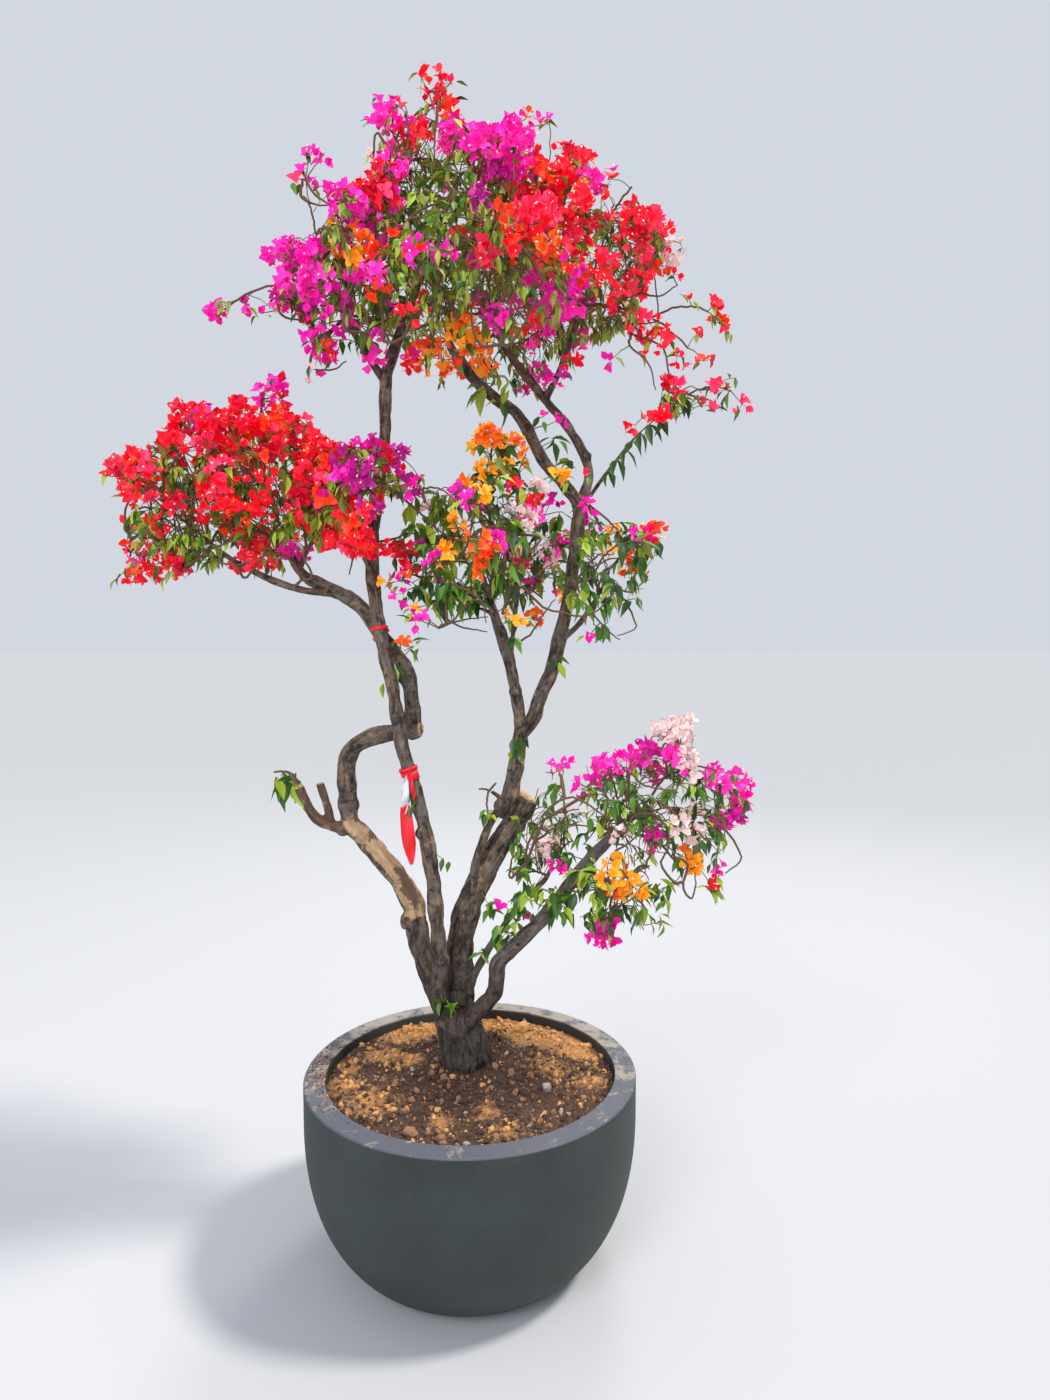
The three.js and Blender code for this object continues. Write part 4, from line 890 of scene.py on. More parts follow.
def bark_material():
    skin = Surface("bark", 0.9)
    grain = skin.attribute("grain", "Vector")
    streaks = skin.noise(70, 5, 0.6, grain, 0.4)
    # One noise for real lighter blotches in the bark and for painted leaf shadows on the peeled bark
    blotches_and_leaf_shadows = skin.noise(15, 4, 0.6)
    spots = skin.noise(48, 4, 0.65, None, 0.5)
    base = skin.blend(skin.spread(streaks, 0.38, 0.62), (40, 31, 27), (120, 102, 86))
    base = skin.wash(base, blotches_and_leaf_shadows, 0.48, 0.6, (108, 98, 92), 0.7)
    base = skin.wash(base, spots, 0.54, 0.62, (36, 29, 26), 0.75)
    base = skin.wash(base, spots, 0.44, 0.36, (152, 132, 110), 0.55)
    base = skin.tinge(base, "ash", streaks, 0.75, 1.05, (104, 99, 98))
    base = skin.tinge(base, "ruddy", spots, 0.75, 1.05, (112, 78, 60))
    base = skin.blend(skin.spread(skin.axis("Z"), 0.5, 0.95, 0.72, 0), base, (44, 39, 38))
    # Peeled bark in sunlit tan: partly real peeled bark, partly painted sunlight
    peeled_and_sunlit = skin.blend(skin.spread(streaks, 0.3, 0.7), (150, 118, 88), (216, 184, 144))
    # Painted shadows of leaves: dark patches on the sunlit peeled bark
    peeled_and_sunlit = skin.wash(peeled_and_sunlit, blotches_and_leaf_shadows, 0.53, 0.57, (84, 62, 50), 0.85)
    # The ragged breaks in the peel partly stand for painted leaf shadows
    base = skin.tinge(base, "peel", skin.noise(15, 5, 0.7, None, 0.8), 0.86, 1.0, peeled_and_sunlit)
    sawn = skin.blend(skin.spread(skin.noise(180, 2), 0.4, 0.6), (178, 140, 98), (212, 180, 138))
    base = skin.blend(skin.attribute("cut"), base, sawn)
    skin.bump(skin.sum(streaks, skin.noise(210, 4, 0.6, grain)), 0.9, 0.005)
    return skin.show(base, skin.spread(streaks, 0.3, 0.7, 0.95, 0.75))


def concrete_material():
    skin = Surface("charcoal_concrete", 0.6)
    clouds = skin.noise(4.5, 4, 0.62)
    specks = skin.noise(240, 3, 0.6)
    base = skin.blend(skin.spread(clouds, 0.35, 0.66), (36, 44, 45), (52, 60, 58))
    base = skin.wash(base, skin.noise(11, 5, 0.7, None, 0.6), 0.5, 0.75, (40, 50, 56), 0.5)
    base = skin.wash(base, specks, 0.55, 0.8, (84, 90, 90), 0.3)
    height = skin.axis("Z")
    # One noise lays both the real dust at the foot and the patches of painted sunlight on the rim's top
    dust_and_sunlight = skin.noise(16, 5, 0.7, None, 0.5)
    back = skin.spread(skin.axis("Y"), -0.35, 0.35, -0.07, 0.1)
    # The rim's top: painted shade and sky reflection in bluish violet, with patches of painted sunlight in
    # beige that grow towards the back
    top = skin.wash((84, 87, 100), skin.sum(dust_and_sunlight, back), 0.5, 0.6, (146, 140, 131))
    base = skin.wash(base, height, 0.500, 0.505, top)
    worn = skin.sum(skin.spread(height, 0.006, 0.0015), skin.spread(dust_and_sunlight, 0.35, 0.55), "MULTIPLY")
    base = skin.blend(worn, base, (128, 132, 130))
    skin.bump(skin.sum(specks, skin.noise(40, 3)), 0.25, 0.0012)
    return skin.show(base, skin.spread(clouds, 0.3, 0.7, 0.6, 0.8))


def soil_material():
    skin = Surface("potting_earth", 1)
    crumbs = skin.noise(90, 5, 0.7)
    base = skin.blend(skin.spread(crumbs, 0.35, 0.65), (42, 31, 28), (96, 70, 56))
    ragged = skin.spread(skin.noise(44, 6, 0.8), 0.3, 0.7, -0.5, 0.5)
    # Painted sunlight: the earth turns ochre and tan in the patches where the sun would fall
    sunlit = skin.blend(skin.spread(crumbs, 0.3, 0.7), (132, 90, 54), (204, 152, 94))
    base = skin.tinge(base, "sand", ragged, 0.3, 0.75, sunlit)
    skin.bump(crumbs, 0.8, 0.006)
    return skin.show(base)


def plain_material(name, channels, roughness, painted_glow=0.0):
    """One plain colour, for a thin leaf or bract, with a painted glow that stands in for the light that
    shines through it
    """
    material = bpy.data.materials.new(name)
    material.use_nodes = True
    shader = material.node_tree.nodes["Principled BSDF"]
    shader.inputs["Base Color"].default_value = colour(channels)
    shader.inputs["Roughness"].default_value = roughness
    # Emission in the thing's own colour: a painted glow, though it is no lamp
    shader.inputs["Emission Color"].default_value = colour(channels)
    shader.inputs["Emission Strength"].default_value = painted_glow
    return material


# Planter and soil


def bowl_radius(height, inset=0.0):
    rise = min(height / SHOULDER_HEIGHT, 1)
    bulge = (1 - (1 - rise) ** BOWL_RISE) ** (1 / BOWL_BULGE)
    return FOOT_RADIUS + (BOWL_RADIUS - FOOT_RADIUS) * bulge - inset


def bowl_inside(top, gap):
    """The inside of the bowl from its rim to the middle of its floor, drawn in by a gap"""
    mouth = BOWL_RADIUS - RIM_WIDTH - gap
    lip = BOWL_HEIGHT - RIM_DEPTH - gap
    floor = FLOOR + gap
    heights = [mix(lip, floor, step / 10) for step in range(11)]
    wall = [(bowl_radius(height, WALL + gap), height) for height in heights]
    return [(mouth, top), (mouth, lip), *wall, (0, floor)]


def spun_solid(profile, turns):
    """Spins a closed profile of (radius, height) points round the middle"""
    ring = add_shape(bpy.ops.mesh.primitive_circle_add, vertices=len(profile), radius=1, fill_type="NOTHING")
    for corner, (radius, height) in zip(ring.data.vertices, profile):
        corner.co = (radius, 0, height)
    return edit_all(
        lambda: bpy.ops.mesh.spin(steps=turns, angle=2 * math.pi, center=(0, 0, 0), axis=(0, 0, 1)),
        lambda: bpy.ops.mesh.remove_doubles(threshold=MERGE_DISTANCE),
        lambda: bpy.ops.mesh.delete_loose(use_verts=True, use_edges=True, use_faces=False),
        lambda: bpy.ops.mesh.normals_make_consistent(inside=False),
    )


def make_planter():
    steps = [mix(RIM_BEVEL, SHOULDER_HEIGHT, (step / BOWL_STEPS) ** 1.3) for step in range(BOWL_STEPS + 1)]
    profile = [(0, 0), (FOOT_RADIUS - RIM_BEVEL, 0)]
    profile += [(bowl_radius(height), height) for height in steps]
    profile += [(BOWL_RADIUS, BOWL_HEIGHT - RIM_BEVEL), (BOWL_RADIUS - RIM_BEVEL, BOWL_HEIGHT)]
    piece = spun_solid(profile + bowl_inside(BOWL_HEIGHT, 0), BOWL_TURNS)
    finish_piece(piece, "bowl_planter", concrete_material(), ["planter"])
    piece.data.set_sharp_from_angle(angle=math.radians(35))


def trunk_distance(x, y):
    return math.hypot(x - TRUNK_FOOT.x, y - TRUNK_FOOT.y)


def soil_height(x, y):
    """The heap's height, with lumps of a hand's and of a thumb's size"""
    slope = smooth_share(HEAP_FLAT_RADIUS, HEAP_RADIUS, trunk_distance(x, y))
    level = mix(SOIL_TOP_HEIGHT, SOIL_EDGE_HEIGHT, slope)
    hand = noise.noise(Vector((x * 11, y * 11, 3)))
    thumb = noise.noise(Vector((x * 38, y * 38, 7)))
    crumb = noise.noise(Vector((x * 110, y * 110, 1)))
    return level + HAND_LUMPS * hand + THUMB_LUMPS * abs(thumb) + CRUMB_LUMPS * crumb


def sunlight_at(x, y):
    """How strong the painted sunlight on the earth is at a place: 1 in the middle of a patch and 0 outside
    them
    """
    return max(most * (1 - math.hypot(x - right, y - back) / radius) for right, back, radius, most in SUNLIT_PATCHES)


def make_soil():
    edge = bowl_inside(SOIL_EDGE_HEIGHT, SOIL_GAP)
    top = [(edge[0][0] * ring / SOIL_RINGS, SOIL_EDGE_HEIGHT + 0.001) for ring in range(SOIL_RINGS)]
    piece = spun_solid(edge + top, SOIL_TURNS)
    for corner in piece.data.vertices:
        if corner.co.z > SOIL_EDGE_HEIGHT + 0.0005:
            corner.co.z = soil_height(corner.co.x, corner.co.y)
    places = read_vectors(piece.data.vertices, "co")
    # The patches of painted sunlight, as a layer that the earth's material reads
    set_layer(piece.data, "sand", [min(max(sunlight_at(x, y) * 2, 0), 1) for x, y, _ in places])
    finish_piece(piece, "soil_heap", soil_material(), ["soil"])


def clod_models(rough, dice):
    """Lumps of radius 1: rough ones of eight faces, or rounder ones of more"""
    models = []
    for kind in range(4):
        if rough:
            add_shape(bpy.ops.mesh.primitive_uv_sphere_add, segments=4, ring_count=2, radius=1)
        else:
            add_shape(bpy.ops.mesh.primitive_ico_sphere_add, subdivisions=2, radius=1)
        places, faces = take_model()
        if rough:
            places *= 1 + 0.3 * dice.normal(size=places.shape)
        else:
            apart = Vector((kind * 5, 0, 0))
            swell = [noise.noise(Vector(place * 1.3) + apart) for place in places]
            places *= 1 + 0.5 * np.array(swell)[:, None]
        models.append((places * (1, 0.82, 0.7), faces))
    return models


def make_clods():
    """Crumbs and clods all over the heap, the bigger stones, and what lies spilt on the rim's left"""
    dice = np.random.default_rng(5)
    crumbs, stones = {name: [] for name in EARTHS}, {name: [] for name in EARTHS}
    mouth = BOWL_RADIUS - RIM_WIDTH

    def drop(kept, tint, x, y, height, size):
        across = unit(dice)
        ahead = across.cross(unit(dice)).normalized()
        place = Vector((x, y, height))
        kept[tint].append((place, across, ahead, across.cross(ahead), size, int(dice.integers(4))))

    for _ in range(CRUMB_COUNT):
        away, turn = (mouth - 0.006) * math.sqrt(dice.random()), dice.random() * 2 * math.pi
        x, y = away * math.cos(turn), away * math.sin(turn)
        if trunk_distance(x, y) < BARE_RADIUS:
            continue
        size = CRUMB_SIZE[0] + CRUMB_SIZE[1] * dice.random() ** 5
        # In the patches of painted sunlight the crumbs are mostly ochre and tan, as if sunlit
        sunlit = sunlight_at(x, y) + dice.normal() * 0.2 > SUNLIT_GROUND
        tint = choose(SUNLIT_SHARES if sunlit else EARTH_SHARES, dice)
        drop(stones if size > CLOD_SIZE else crumbs, tint, x, y, soil_height(x, y) + size * 0.25, size)
    for tint, x, y, size in STONES:
        drop(stones, tint, x, y, soil_height(x, y) + size * 0.35, size)
    for _ in range(SPILT_COUNT):
        away = mix(mouth, BOWL_RADIUS - 0.008, dice.random() ** 1.3)
        turn = math.radians(SPILT_TURN + dice.normal() * SPILT_SPREAD)
        size = CRUMB_SIZE[0] * mix(0.6, 1.5, dice.random())
        tint = choose(SPILT_SHARES, dice)
        drop(crumbs, tint, away * math.cos(turn), away * math.sin(turn), BOWL_HEIGHT + size * 0.3, size)
    small, big = clod_models(True, dice), clod_models(False, dice)
    for tint, channels in EARTHS.items():
        skin = plain_material(tint + "_earth", channels, 0.95)
        parts = [scatter(small, crumbs[tint]), scatter(big, stones[tint])]
        finish_piece(join_pieces(parts), "clods_" + tint, skin, smooth=False)


# Limbs


def limb_samples(limb):
    """Points down a limb with frames that don't twist, its radius there, and the share and length so far"""
    points = limb["points"]
    rough = sum((Vector(b) - Vector(a)).length for a, b in zip(points, points[1:]))
    count = max(int(rough / LIMB_STEP), 6)
    rows, side, run, before = [], Vector((0, 1, 0)), 0.0, None
    for i in range(count + 1):
        share = i / count
        point, ahead = curve_point(points, share), curve_heading(points, share)
        side = (side - ahead * side.dot(ahead)).normalized()
        run += (point - before).length if before else 0
        before = point
        rows.append((point, ahead, side.copy(), ahead.cross(side), along(limb["radii"], share), share, run))
    return rows


def limb_run(rows):
    """A limb's points and its radii, which swell and shrink a little"""
    points = [row[0] for row in rows]
    swells = [noise.noise(point * 13) * 0.11 + noise.noise(point * 37) * 0.07 for point in points]
    return points, [row[4] * (1 + swell) for row, swell in zip(rows, swells)]


def row_at(rows, share):
    return rows[round(share * (len(rows) - 1))]


def add_knots(names, samples):
    pieces = []
    for name, share, right, back, size in KNOTS:
        if name in names:
            place = row_at(samples[name], share)[0] + Vector((right, back, 0))
            ball = {"subdivisions": 3, "radius": size, "location": place}
            pieces.append(add_shape(bpy.ops.mesh.primitive_ico_sphere_add, **ball))
    return pieces


def limb_coordinates(places, names, samples):
    """For each vertex: the limb whose bark is nearest, and how the vertex lies round and along it"""
    rows = [(*row, index) for index, name in enumerate(names) for row in samples[name]]
    middle, ahead, side, up, radius, share, run, owner = [np.array(column) for column in zip(*rows)]
    middle, radius = middle.astype(np.float32), radius.astype(np.float32)
    nearest = np.empty(len(places), np.int64)
    for first in range(0, len(places), 4000):
        block = places[first:first + 4000].astype(np.float32)
        away = np.linalg.norm(block[:, None, :] - middle[None, :, :], axis=2) - radius
        nearest[first:first + 4000] = away.argmin(axis=1)
    offset = places - middle[nearest]
    across, over, past = [np.einsum("ij,ij->i", offset, axis[nearest]) for axis in (side, up, ahead)]
    return {
        "owner": owner[nearest], "limb": np.array(names)[owner[nearest]], "share": share[nearest],
        "radius": radius[nearest], "across": across, "over": over, "past": past, "run": run[nearest] + past,
    }


def bark_relief(places, normals, spot, grain):
    """Moves the bark in and out: lumps, long fissures that deepen with a limb's size, and root ridges"""
    moved = places.copy()
    for i, (place, normal) in enumerate(zip(places, normals)):
        size = float(spot["radius"][i])
        lumps = noise.noise(Vector(place * 24)) * 0.14 * size
        line, fine = [1 - abs(noise.noise(Vector(grain[i] * count))) for count in (58, 130)]
        foot = smooth_share(0.60, 0.49, place[2])
        crack = smooth_share(0.7, 1, line) * 0.085 * size + smooth_share(0.7, 1, fine) * 0.035 * size
        crack *= 1 + 0.8 * foot
        turn = math.atan2(place[1] - TRUNK_FOOT.y, place[0] - TRUNK_FOOT.x)
        ridge = foot * 0.006 * math.cos(5 * turn + 2 * noise.noise(Vector(place * 9)))
        moved[i] = place + normal * (lumps - crack + ridge)
    return moved


def tinge_amounts(spot, normals, rows):
    """How far a tinge goes at each vertex, most of all on the upper and right sides, where the key light
    falls: painted sunlight
    """
    amount = np.zeros(len(normals))
    # Painted sunlight: each tinge is laid on more where the surface faces up and to the right, towards the
    # key light
    facing = 0.62 + 0.3 * normals[:, 2] + 0.28 * normals[:, 0]
    share = spot["share"]
    for name, low, high, most in rows:
        rise = np.clip((share - low) / TINGE_FADE, 0, 1) * np.clip((high - share) / TINGE_FADE, 0, 1)
        amount = np.where(spot["limb"] == name, most * rise * facing, amount)
    return amount


def cut_amounts(spot):
    """1 on the flat ends of the sawn limbs and 0 elsewhere"""
    ends = np.isin(spot["limb"], SAWN) & (spot["share"] > 0.98) & (spot["past"] > -0.0015)
    return ends & (np.hypot(spot["across"], spot["over"]) < spot["radius"] * 1.02)


def make_bark(name, limbs, samples, material):
    names = [limb["name"] for limb in limbs]
    runs = [limb_run(samples[limb][::2]) for limb in names]
    piece = join_pieces([curve_piece(runs, 4), *add_knots(names, samples)])
    apply_modifier(piece, "REMESH", mode="VOXEL", voxel_size=BARK_STEP, use_smooth_shade=True)
    apply_modifier(piece, "SMOOTH", factor=0.5, iterations=4)
    mesh = piece.data
    places, normals = read_vectors(mesh.vertices, "co"), read_vectors(mesh.vertex_normals, "vector")
    spot = limb_coordinates(places, names, samples)
    grain = np.stack([spot["across"] + spot["owner"] * 0.37, spot["over"], spot["run"] * 0.22], axis=1)
    mesh.vertices.foreach_set("co", bark_relief(places, normals, spot, grain).ravel())
    mesh.update()
    set_layer(mesh, "grain", grain)
    for tinge, rows in TINGES.items():
        set_layer(mesh, tinge, tinge_amounts(spot, normals, rows))
    set_layer(mesh, "cut", cut_amounts(spot))
    finish_piece(piece, name, material, [limb["name"] for limb in limbs if "from" not in limb])


def make_ribbon(samples):
    """A band tied round the middle bough, with a pale and a red tail, and the red tape higher up"""
    bands = []
    for limb, share, width, grow in RIBBON_BANDS:
        point, ahead, _, _, radius, _, _ = row_at(samples[limb], share)
        bands.append(add_shape(
            bpy.ops.mesh.primitive_cylinder_add, vertices=28, radius=radius * grow, depth=width,
            end_fill_type="NOTHING", location=point, rotation=ahead.to_track_quat("Z", "Y").to_euler(),
        ))
    tails = {tint: [] for tint in RIBBON_TINTS}
    for tint, top, bottom, width in RIBBON_TAILS:
        strip = add_shape(bpy.ops.mesh.primitive_grid_add, x_subdivisions=4, y_subdivisions=24, size=2)
        tails[tint].append(strip)
        for corner in strip.data.vertices:
            side, share = corner.co.x, (1 - corner.co.y) / 2
            half = width * math.sin(math.pi * mix(0.14, 0.97, share)) ** 0.6 / 2
            wave, curl = 0.006 * math.sin(share * 9 + side * 1.4), 0.004 * math.sin(side * 3 + share * 6)
            corner.co = Vector(top).lerp(Vector(bottom), share) + Vector((side * half, wave, curl))
    tails["red"] += bands
    for tint, channels in RIBBON_TINTS.items():
        piece = join_pieces(tails[tint])
        apply_modifier(piece, "SOLIDIFY", thickness=RIBBON_THICKNESS)
        # The ribbon's emission of 0.03 is a painted glow
        skin = plain_material("ribbon_" + tint, channels, 0.5, 0.03)
        finish_piece(piece, "ribbon_" + tint, skin)


# Growth: stems and twigs by the source's rule, then finer twigs and sprays


def limb_points():
    """Points down every limb's middle with its radius there, as the source samples them"""
    rows = []
    for limb in LIMBS:
        count = 3 * max(len(limb["points"]) - 1, 3)
        for i in range(count + 1):
            rows.append((*curve_point(limb["points"], i / count), along(limb["radii"], i / count)))
    return np.array(rows)[:, :3], np.array(rows)[:, 3]


def bark_distances(point, wood):
    return np.linalg.norm(wood[0] - np.array(point), axis=1) - wood[1]


def line_distance(point, start, end):
    line = end - start
    share = min(max((point - start).dot(line) / line.length_squared, 0), 1)
    return (point - start - line * share).length


def lobe_depth(mass, point):
    """How far out a point lies in a mass's lobe: 0 in its middle and 1 on its edge"""
    return math.hypot(*[(point[i] - mass["centre"][i]) / mass["half"][i] for i in range(3)])


def lobe_point(mass, out, depth):
    return Vector([mass["centre"][i] + out[i] * mass["half"][i] * depth for i in range(3)])


def space_depth(mass, point):
    """How deep a point lies in a mass's own space: under 1 inside its lobe, or near the stem or a shoot"""
    depth = line_distance(point, mass["start"], mass["heart"]) / STEM_SPACE
    shoots = [line_distance(point, mass["heart"], tip) / SHOOT_SPACE for tip in mass["shoots"]]
    return min(depth, lobe_depth(mass, point), *shoots)


def as_seen(point):
    """Where the camera sees a point on the plane Y = 0: across and up"""
    share = CAMERA_PLACE[1] / (CAMERA_PLACE[1] - point[1])
    return mix(CAMERA_PLACE[0], point[0], share), mix(CAMERA_PLACE[2], point[2], share)


def cleared(point):
    across, up = as_seen(point)
    return any(math.hypot(across - x, up - z) < radius + CLEARING_MARGIN for x, z, radius in CLEARINGS)


def openness(point):
    """The share of the sprays that stay at a point: under 1 where the plant is open"""
    across, up = as_seen(point)
    depths = [(kept, math.hypot(across - x, up - z) / radius) for x, z, radius, kept in OPENINGS]
    return min(mix(kept, 1, smooth_share(0.75, 1.15, depth)) for kept, depth in depths)


def bloom_at(mass, point, height, dice):
    """The mix of colours that flowers at a point, and how freely"""
    by_height = BLOOM_BY_HEIGHT[0] + BLOOM_BY_HEIGHT[1] * height
    found, least = (mass["mix"], mass["bloom"] * by_height), 0.95 + 0.35 * dice.random()
    across, up = as_seen(point)
    for name, patches in PATCHES.items():
        for x, z, radius, bloom in patches:
            away = math.hypot(across - x, up - z) / radius
            if away < least:
                found, least = (name, bloom), away
    return found


def has_room(mass, point, edge):
    """Whether a point is in the mass's space, the plant's outline and the reach of the whole plant"""
    if space_depth(mass, point) > edge or cleared(point):
        return False
    return all(cad_low[i] - REACH_SPARE < point[i] < cad_high[i] + REACH_SPARE for i in range(3))


def in_own_space(mass, masses, point):
    own = space_depth(mass, point)
    if own > CELL_EDGE:
        return False
    return all(other is mass or space_depth(other, point) > own + CELL_MARGIN for other in masses)


def place_mass(mass):
    """A mass with its stem, which starts just inside its limb's tip and heads the way that the limb points"""
    limb = named(LIMBS, mass["limb"])
    heading = curve_heading(limb["points"], 1)
    start = curve_point(limb["points"], 1) - heading * STEM_SINK
    bend = start + heading * (start - mass["heart"]).length * STEM_BEND
    root_radius = limb["radii"][-1] * STEM_SHARE
    stem = {"path": (start, bend, mass["heart"]), "ends": (root_radius, root_radius * STEM_TAPER), "reach": 0}
    return {**mass, "start": start, "stem": stem}


def lobe_tips(mass, count, depths, draw):
    """Tips spread evenly over a mass's lobe"""
    tips = []
    for i in range(count):
        level = 1 - 2 * (i + 0.5) / count
        ring = math.sqrt(1 - level * level)
        turn = i * GOLDEN_ANGLE + draw()
        depth = depths[0] + depths[1] * draw()
        point = lobe_point(mass, (ring * math.cos(turn), ring * math.sin(turn), level), depth)
        tips.append({"point": point, "height": level, "shoot": False})
    return tips


def arched(start, tip, sway, arch):
    """A twig's path: its node, the point that its arch bends to, and its tip"""
    length = (tip - start).length
    bend = (start + tip) / 2
    bend.z += arch * length
    bend.x += sway * length * TWIG_SWAY
    bend.y -= sway * length * TWIG_SWAY
    return start, bend, tip


def path_length(path):
    points = [bezier(*path, i / 40) for i in range(41)]
    return sum((b - a).length for a, b in zip(points, points[1:]))


def add_fork(forks, twig, share, length):
    """A place on a twig for others to grow from"""
    point, radius = bezier(*twig["path"], share), mix(*twig["ends"], share)
    forks.append({"point": point, "reach": twig["reach"] + share * length, "radius": radius})


def grown(tips, mass, forks):
    """Each tip from the nearest on, with the fork that suits it best among those that there are by then"""
    for tip in sorted(tips, key=lambda tip: (tip["point"] - mass["start"]).length):
        costs = [(fork["point"] - tip["point"]).length + ATTACH_BIAS * fork["reach"] for fork in forks]
        yield tip, forks[costs.index(min(costs))]


def grow_twigs(mass, fits):
    """Twigs from the stem's forks and from one another's, as in the source"""
    draw = seeded(mass["seed"])
    forks, twigs = [], []
    for share in STEM_FORKS:
        add_fork(forks, mass["stem"], share, (mass["start"] - mass["heart"]).length)
    tips = lobe_tips(mass, mass["twigs"], TIP_DEPTH, draw)
    tips += [{"point": tip, "height": 1, "shoot": True} for tip in mass["shoots"]]
    for tip, fork in grown(tips, mass, forks):
        path = arched(fork["point"], tip["point"], draw() - 0.5, TWIG_ARCH)
        if all(fits(bezier(*path, share)) for share in TWIG_CHECKS):
            base = max(fork["radius"] * TWIG_TAPER, TWIG_ROOT_RADIUS)
            twigs.append({**tip, "path": path, "ends": (base, TWIG_TIP_RADIUS), "reach": fork["reach"]})
            add_fork(forks, twigs[-1], FORK_AT, path_length(path))
    return twigs


def trim_twig(twig):
    """A twig cut back to where it leaves the plant's outline, though not below its fork"""
    start, bend, _ = twig["path"]
    share = next((share for share in TRIM_SHARES if not cleared(bezier(*twig["path"], share))), FORK_AT)
    return {**twig, "path": (start, start.lerp(bend, share), bezier(*twig["path"], share))}


def grow_finer(mass, twigs, wood, dice):
    """More tips over the same lobe, each reached from the nearest bearing twig by the same rule"""
    forks, finer = [], []
    for twig in [mass["stem"], *twigs]:
        for share in FINE_FORKS:
            add_fork(forks, twig, share, (twig["path"][2] - twig["path"][0]).length)
    tips = lobe_tips(mass, mass["twigs"] * FINE_PER_TWIG, FINE_DEPTH, dice.random)
    for tip, fork in grown(tips, mass, forks):
        span = (fork["point"] - tip["point"]).length
        if not FINE_SPAN[0] < span < FINE_SPAN[1]:
            continue
        path = arched(fork["point"], tip["point"], dice.random() - 0.5, mix(*FINE_ARCH, dice.random()))
        if any(space_depth(mass, bezier(*path, share)) > CELL_EDGE for share in (0.5, 0.75, 1)):
            continue
        if cleared(tip["point"]) or bark_distances(tip["point"], wood).min() < LIMB_CLEARANCE:
            continue
        base = min(max(fork["radius"] * TWIG_TAPER, FINE_TIP_RADIUS), FINE_ROOT_RADIUS)
        finer.append({**tip, "path": path, "ends": (base, FINE_TIP_RADIUS), "reach": fork["reach"]})
        reach = fork["reach"] + span * FORK_AT
        forks.append({"point": bezier(*path, FORK_AT), "reach": reach, "radius": base})
    return finer


def grow_loops(mass, twigs, dice):
    """Long bare twigs that arch through a mass from one of its twigs and end free"""
    loops = []
    for _ in twigs:
        twig = twigs[int(dice.integers(len(twigs)))]
        start = bezier(*twig["path"], mix(0.1, 0.8, dice.random()))
        depth = mix(*LOOP_DEPTH, dice.random())
        tip = lobe_point(mass, unit(dice), depth)
        if not LOOP_SPAN[0] < (tip - start).length < LOOP_SPAN[1]:
            continue
        arch = mix(*LOOP_ARCH, dice.random())
        path = arched(start, tip, mix(*LOOP_SWAY, dice.random()), arch)
        if has_room(mass, bezier(*path, 0.5), CELL_EDGE) and not cleared(tip):
            loops.append({"path": path, "ends": LOOP_RADII})
    return loops


def twig_run(twig, steps, dice):
    """A twig's points and radii, with small kinks at its nodes"""
    length = (twig["path"][2] - twig["path"][0]).length
    points = [bezier(*twig["path"], i / steps) for i in range(steps + 1)]
    for i in range(1, steps):
        points[i] = points[i] + unit(dice) * length * KINK
    return points, [mix(*twig["ends"], i / steps) for i in range(steps + 1)]


def add_leaf(plant, region, root, ahead, size, dice, tint=None):
    facing = (Vector((0, 0, 1)) + unit(dice) * 0.45).normalized()
    ahead = ahead.normalized()
    across = ahead.cross(facing)
    if across.length < 0.001:
        across = ahead.orthogonal()
    across.normalize()
    tint = tint or choose(dict(zip(LEAF_TINTS, REGIONS[region]["tints"])), dice)
    kind = int(dice.integers(len(LEAF_FORMS)))
    plant["leaves"][tint].append((root, across, ahead, across.cross(ahead).normalized(), size, kind))


def add_trio(plant, root, place, axis, tint, dice):
    """A trio of bracts on a straight stalk, and in some the open flower"""
    across = axis.cross(unit(dice)).normalized()
    turned = (place, across, axis.cross(across), axis)
    size = BRACT_SIZE[0] + BRACT_SIZE[1] * dice.random()
    plant["bracts"][tint].append((*turned, size, int(dice.integers(len(TRIO_FORMS)))))
    if dice.random() < EYE_SHARE:
        plant["eyes"].append((*turned, size * EYE_SIZE, 0))
    stalk = place - root
    across = stalk.orthogonal().normalized()
    plant["bract_stalks"].append((root, across, stalk.cross(across).normalized(), stalk, 1, 0))


def add_cluster(plant, mass, tip, heading, mixture, dice):
    """Trios of bracts on short stalks, round the end of a spray"""
    count = int(dice.integers(*CLUSTER_COUNT))
    main = choose(mixture, dice)
    for _ in range(count):
        away = (unit(dice) + heading * 0.7 + Vector((0, 0, 0.25))).normalized()
        place = tip + away * CLUSTER_RADIUS * (0.35 + 0.65 * dice.random())
        if has_room(mass, place, BLADE_EDGE):
            tint = main if dice.random() < MAIN_TINT_SHARE else choose(mixture, dice)
            axis = (away + unit(dice) * 0.35).normalized()
            add_trio(plant, tip, place, axis, tint, dice)


def spray_path(mass, start, heading, dice):
    """A short side shoot's three control points, the first of a few tries that ends in the mass's space"""
    for _ in range(SPRAY_TRIES):
        ahead = (heading * 0.55 + unit(dice) * 0.8 + Vector((0, 0, 0.2))).normalized()
        length = SPRAY_LENGTH[0] + SPRAY_LENGTH[1] * dice.random()
        droop = Vector((0, 0, 0.12 * length))
        if has_room(mass, start + ahead * length - droop, SPRAY_EDGE):
            return start, start + ahead * length * 0.5 + droop, start + ahead * length - droop
    return None


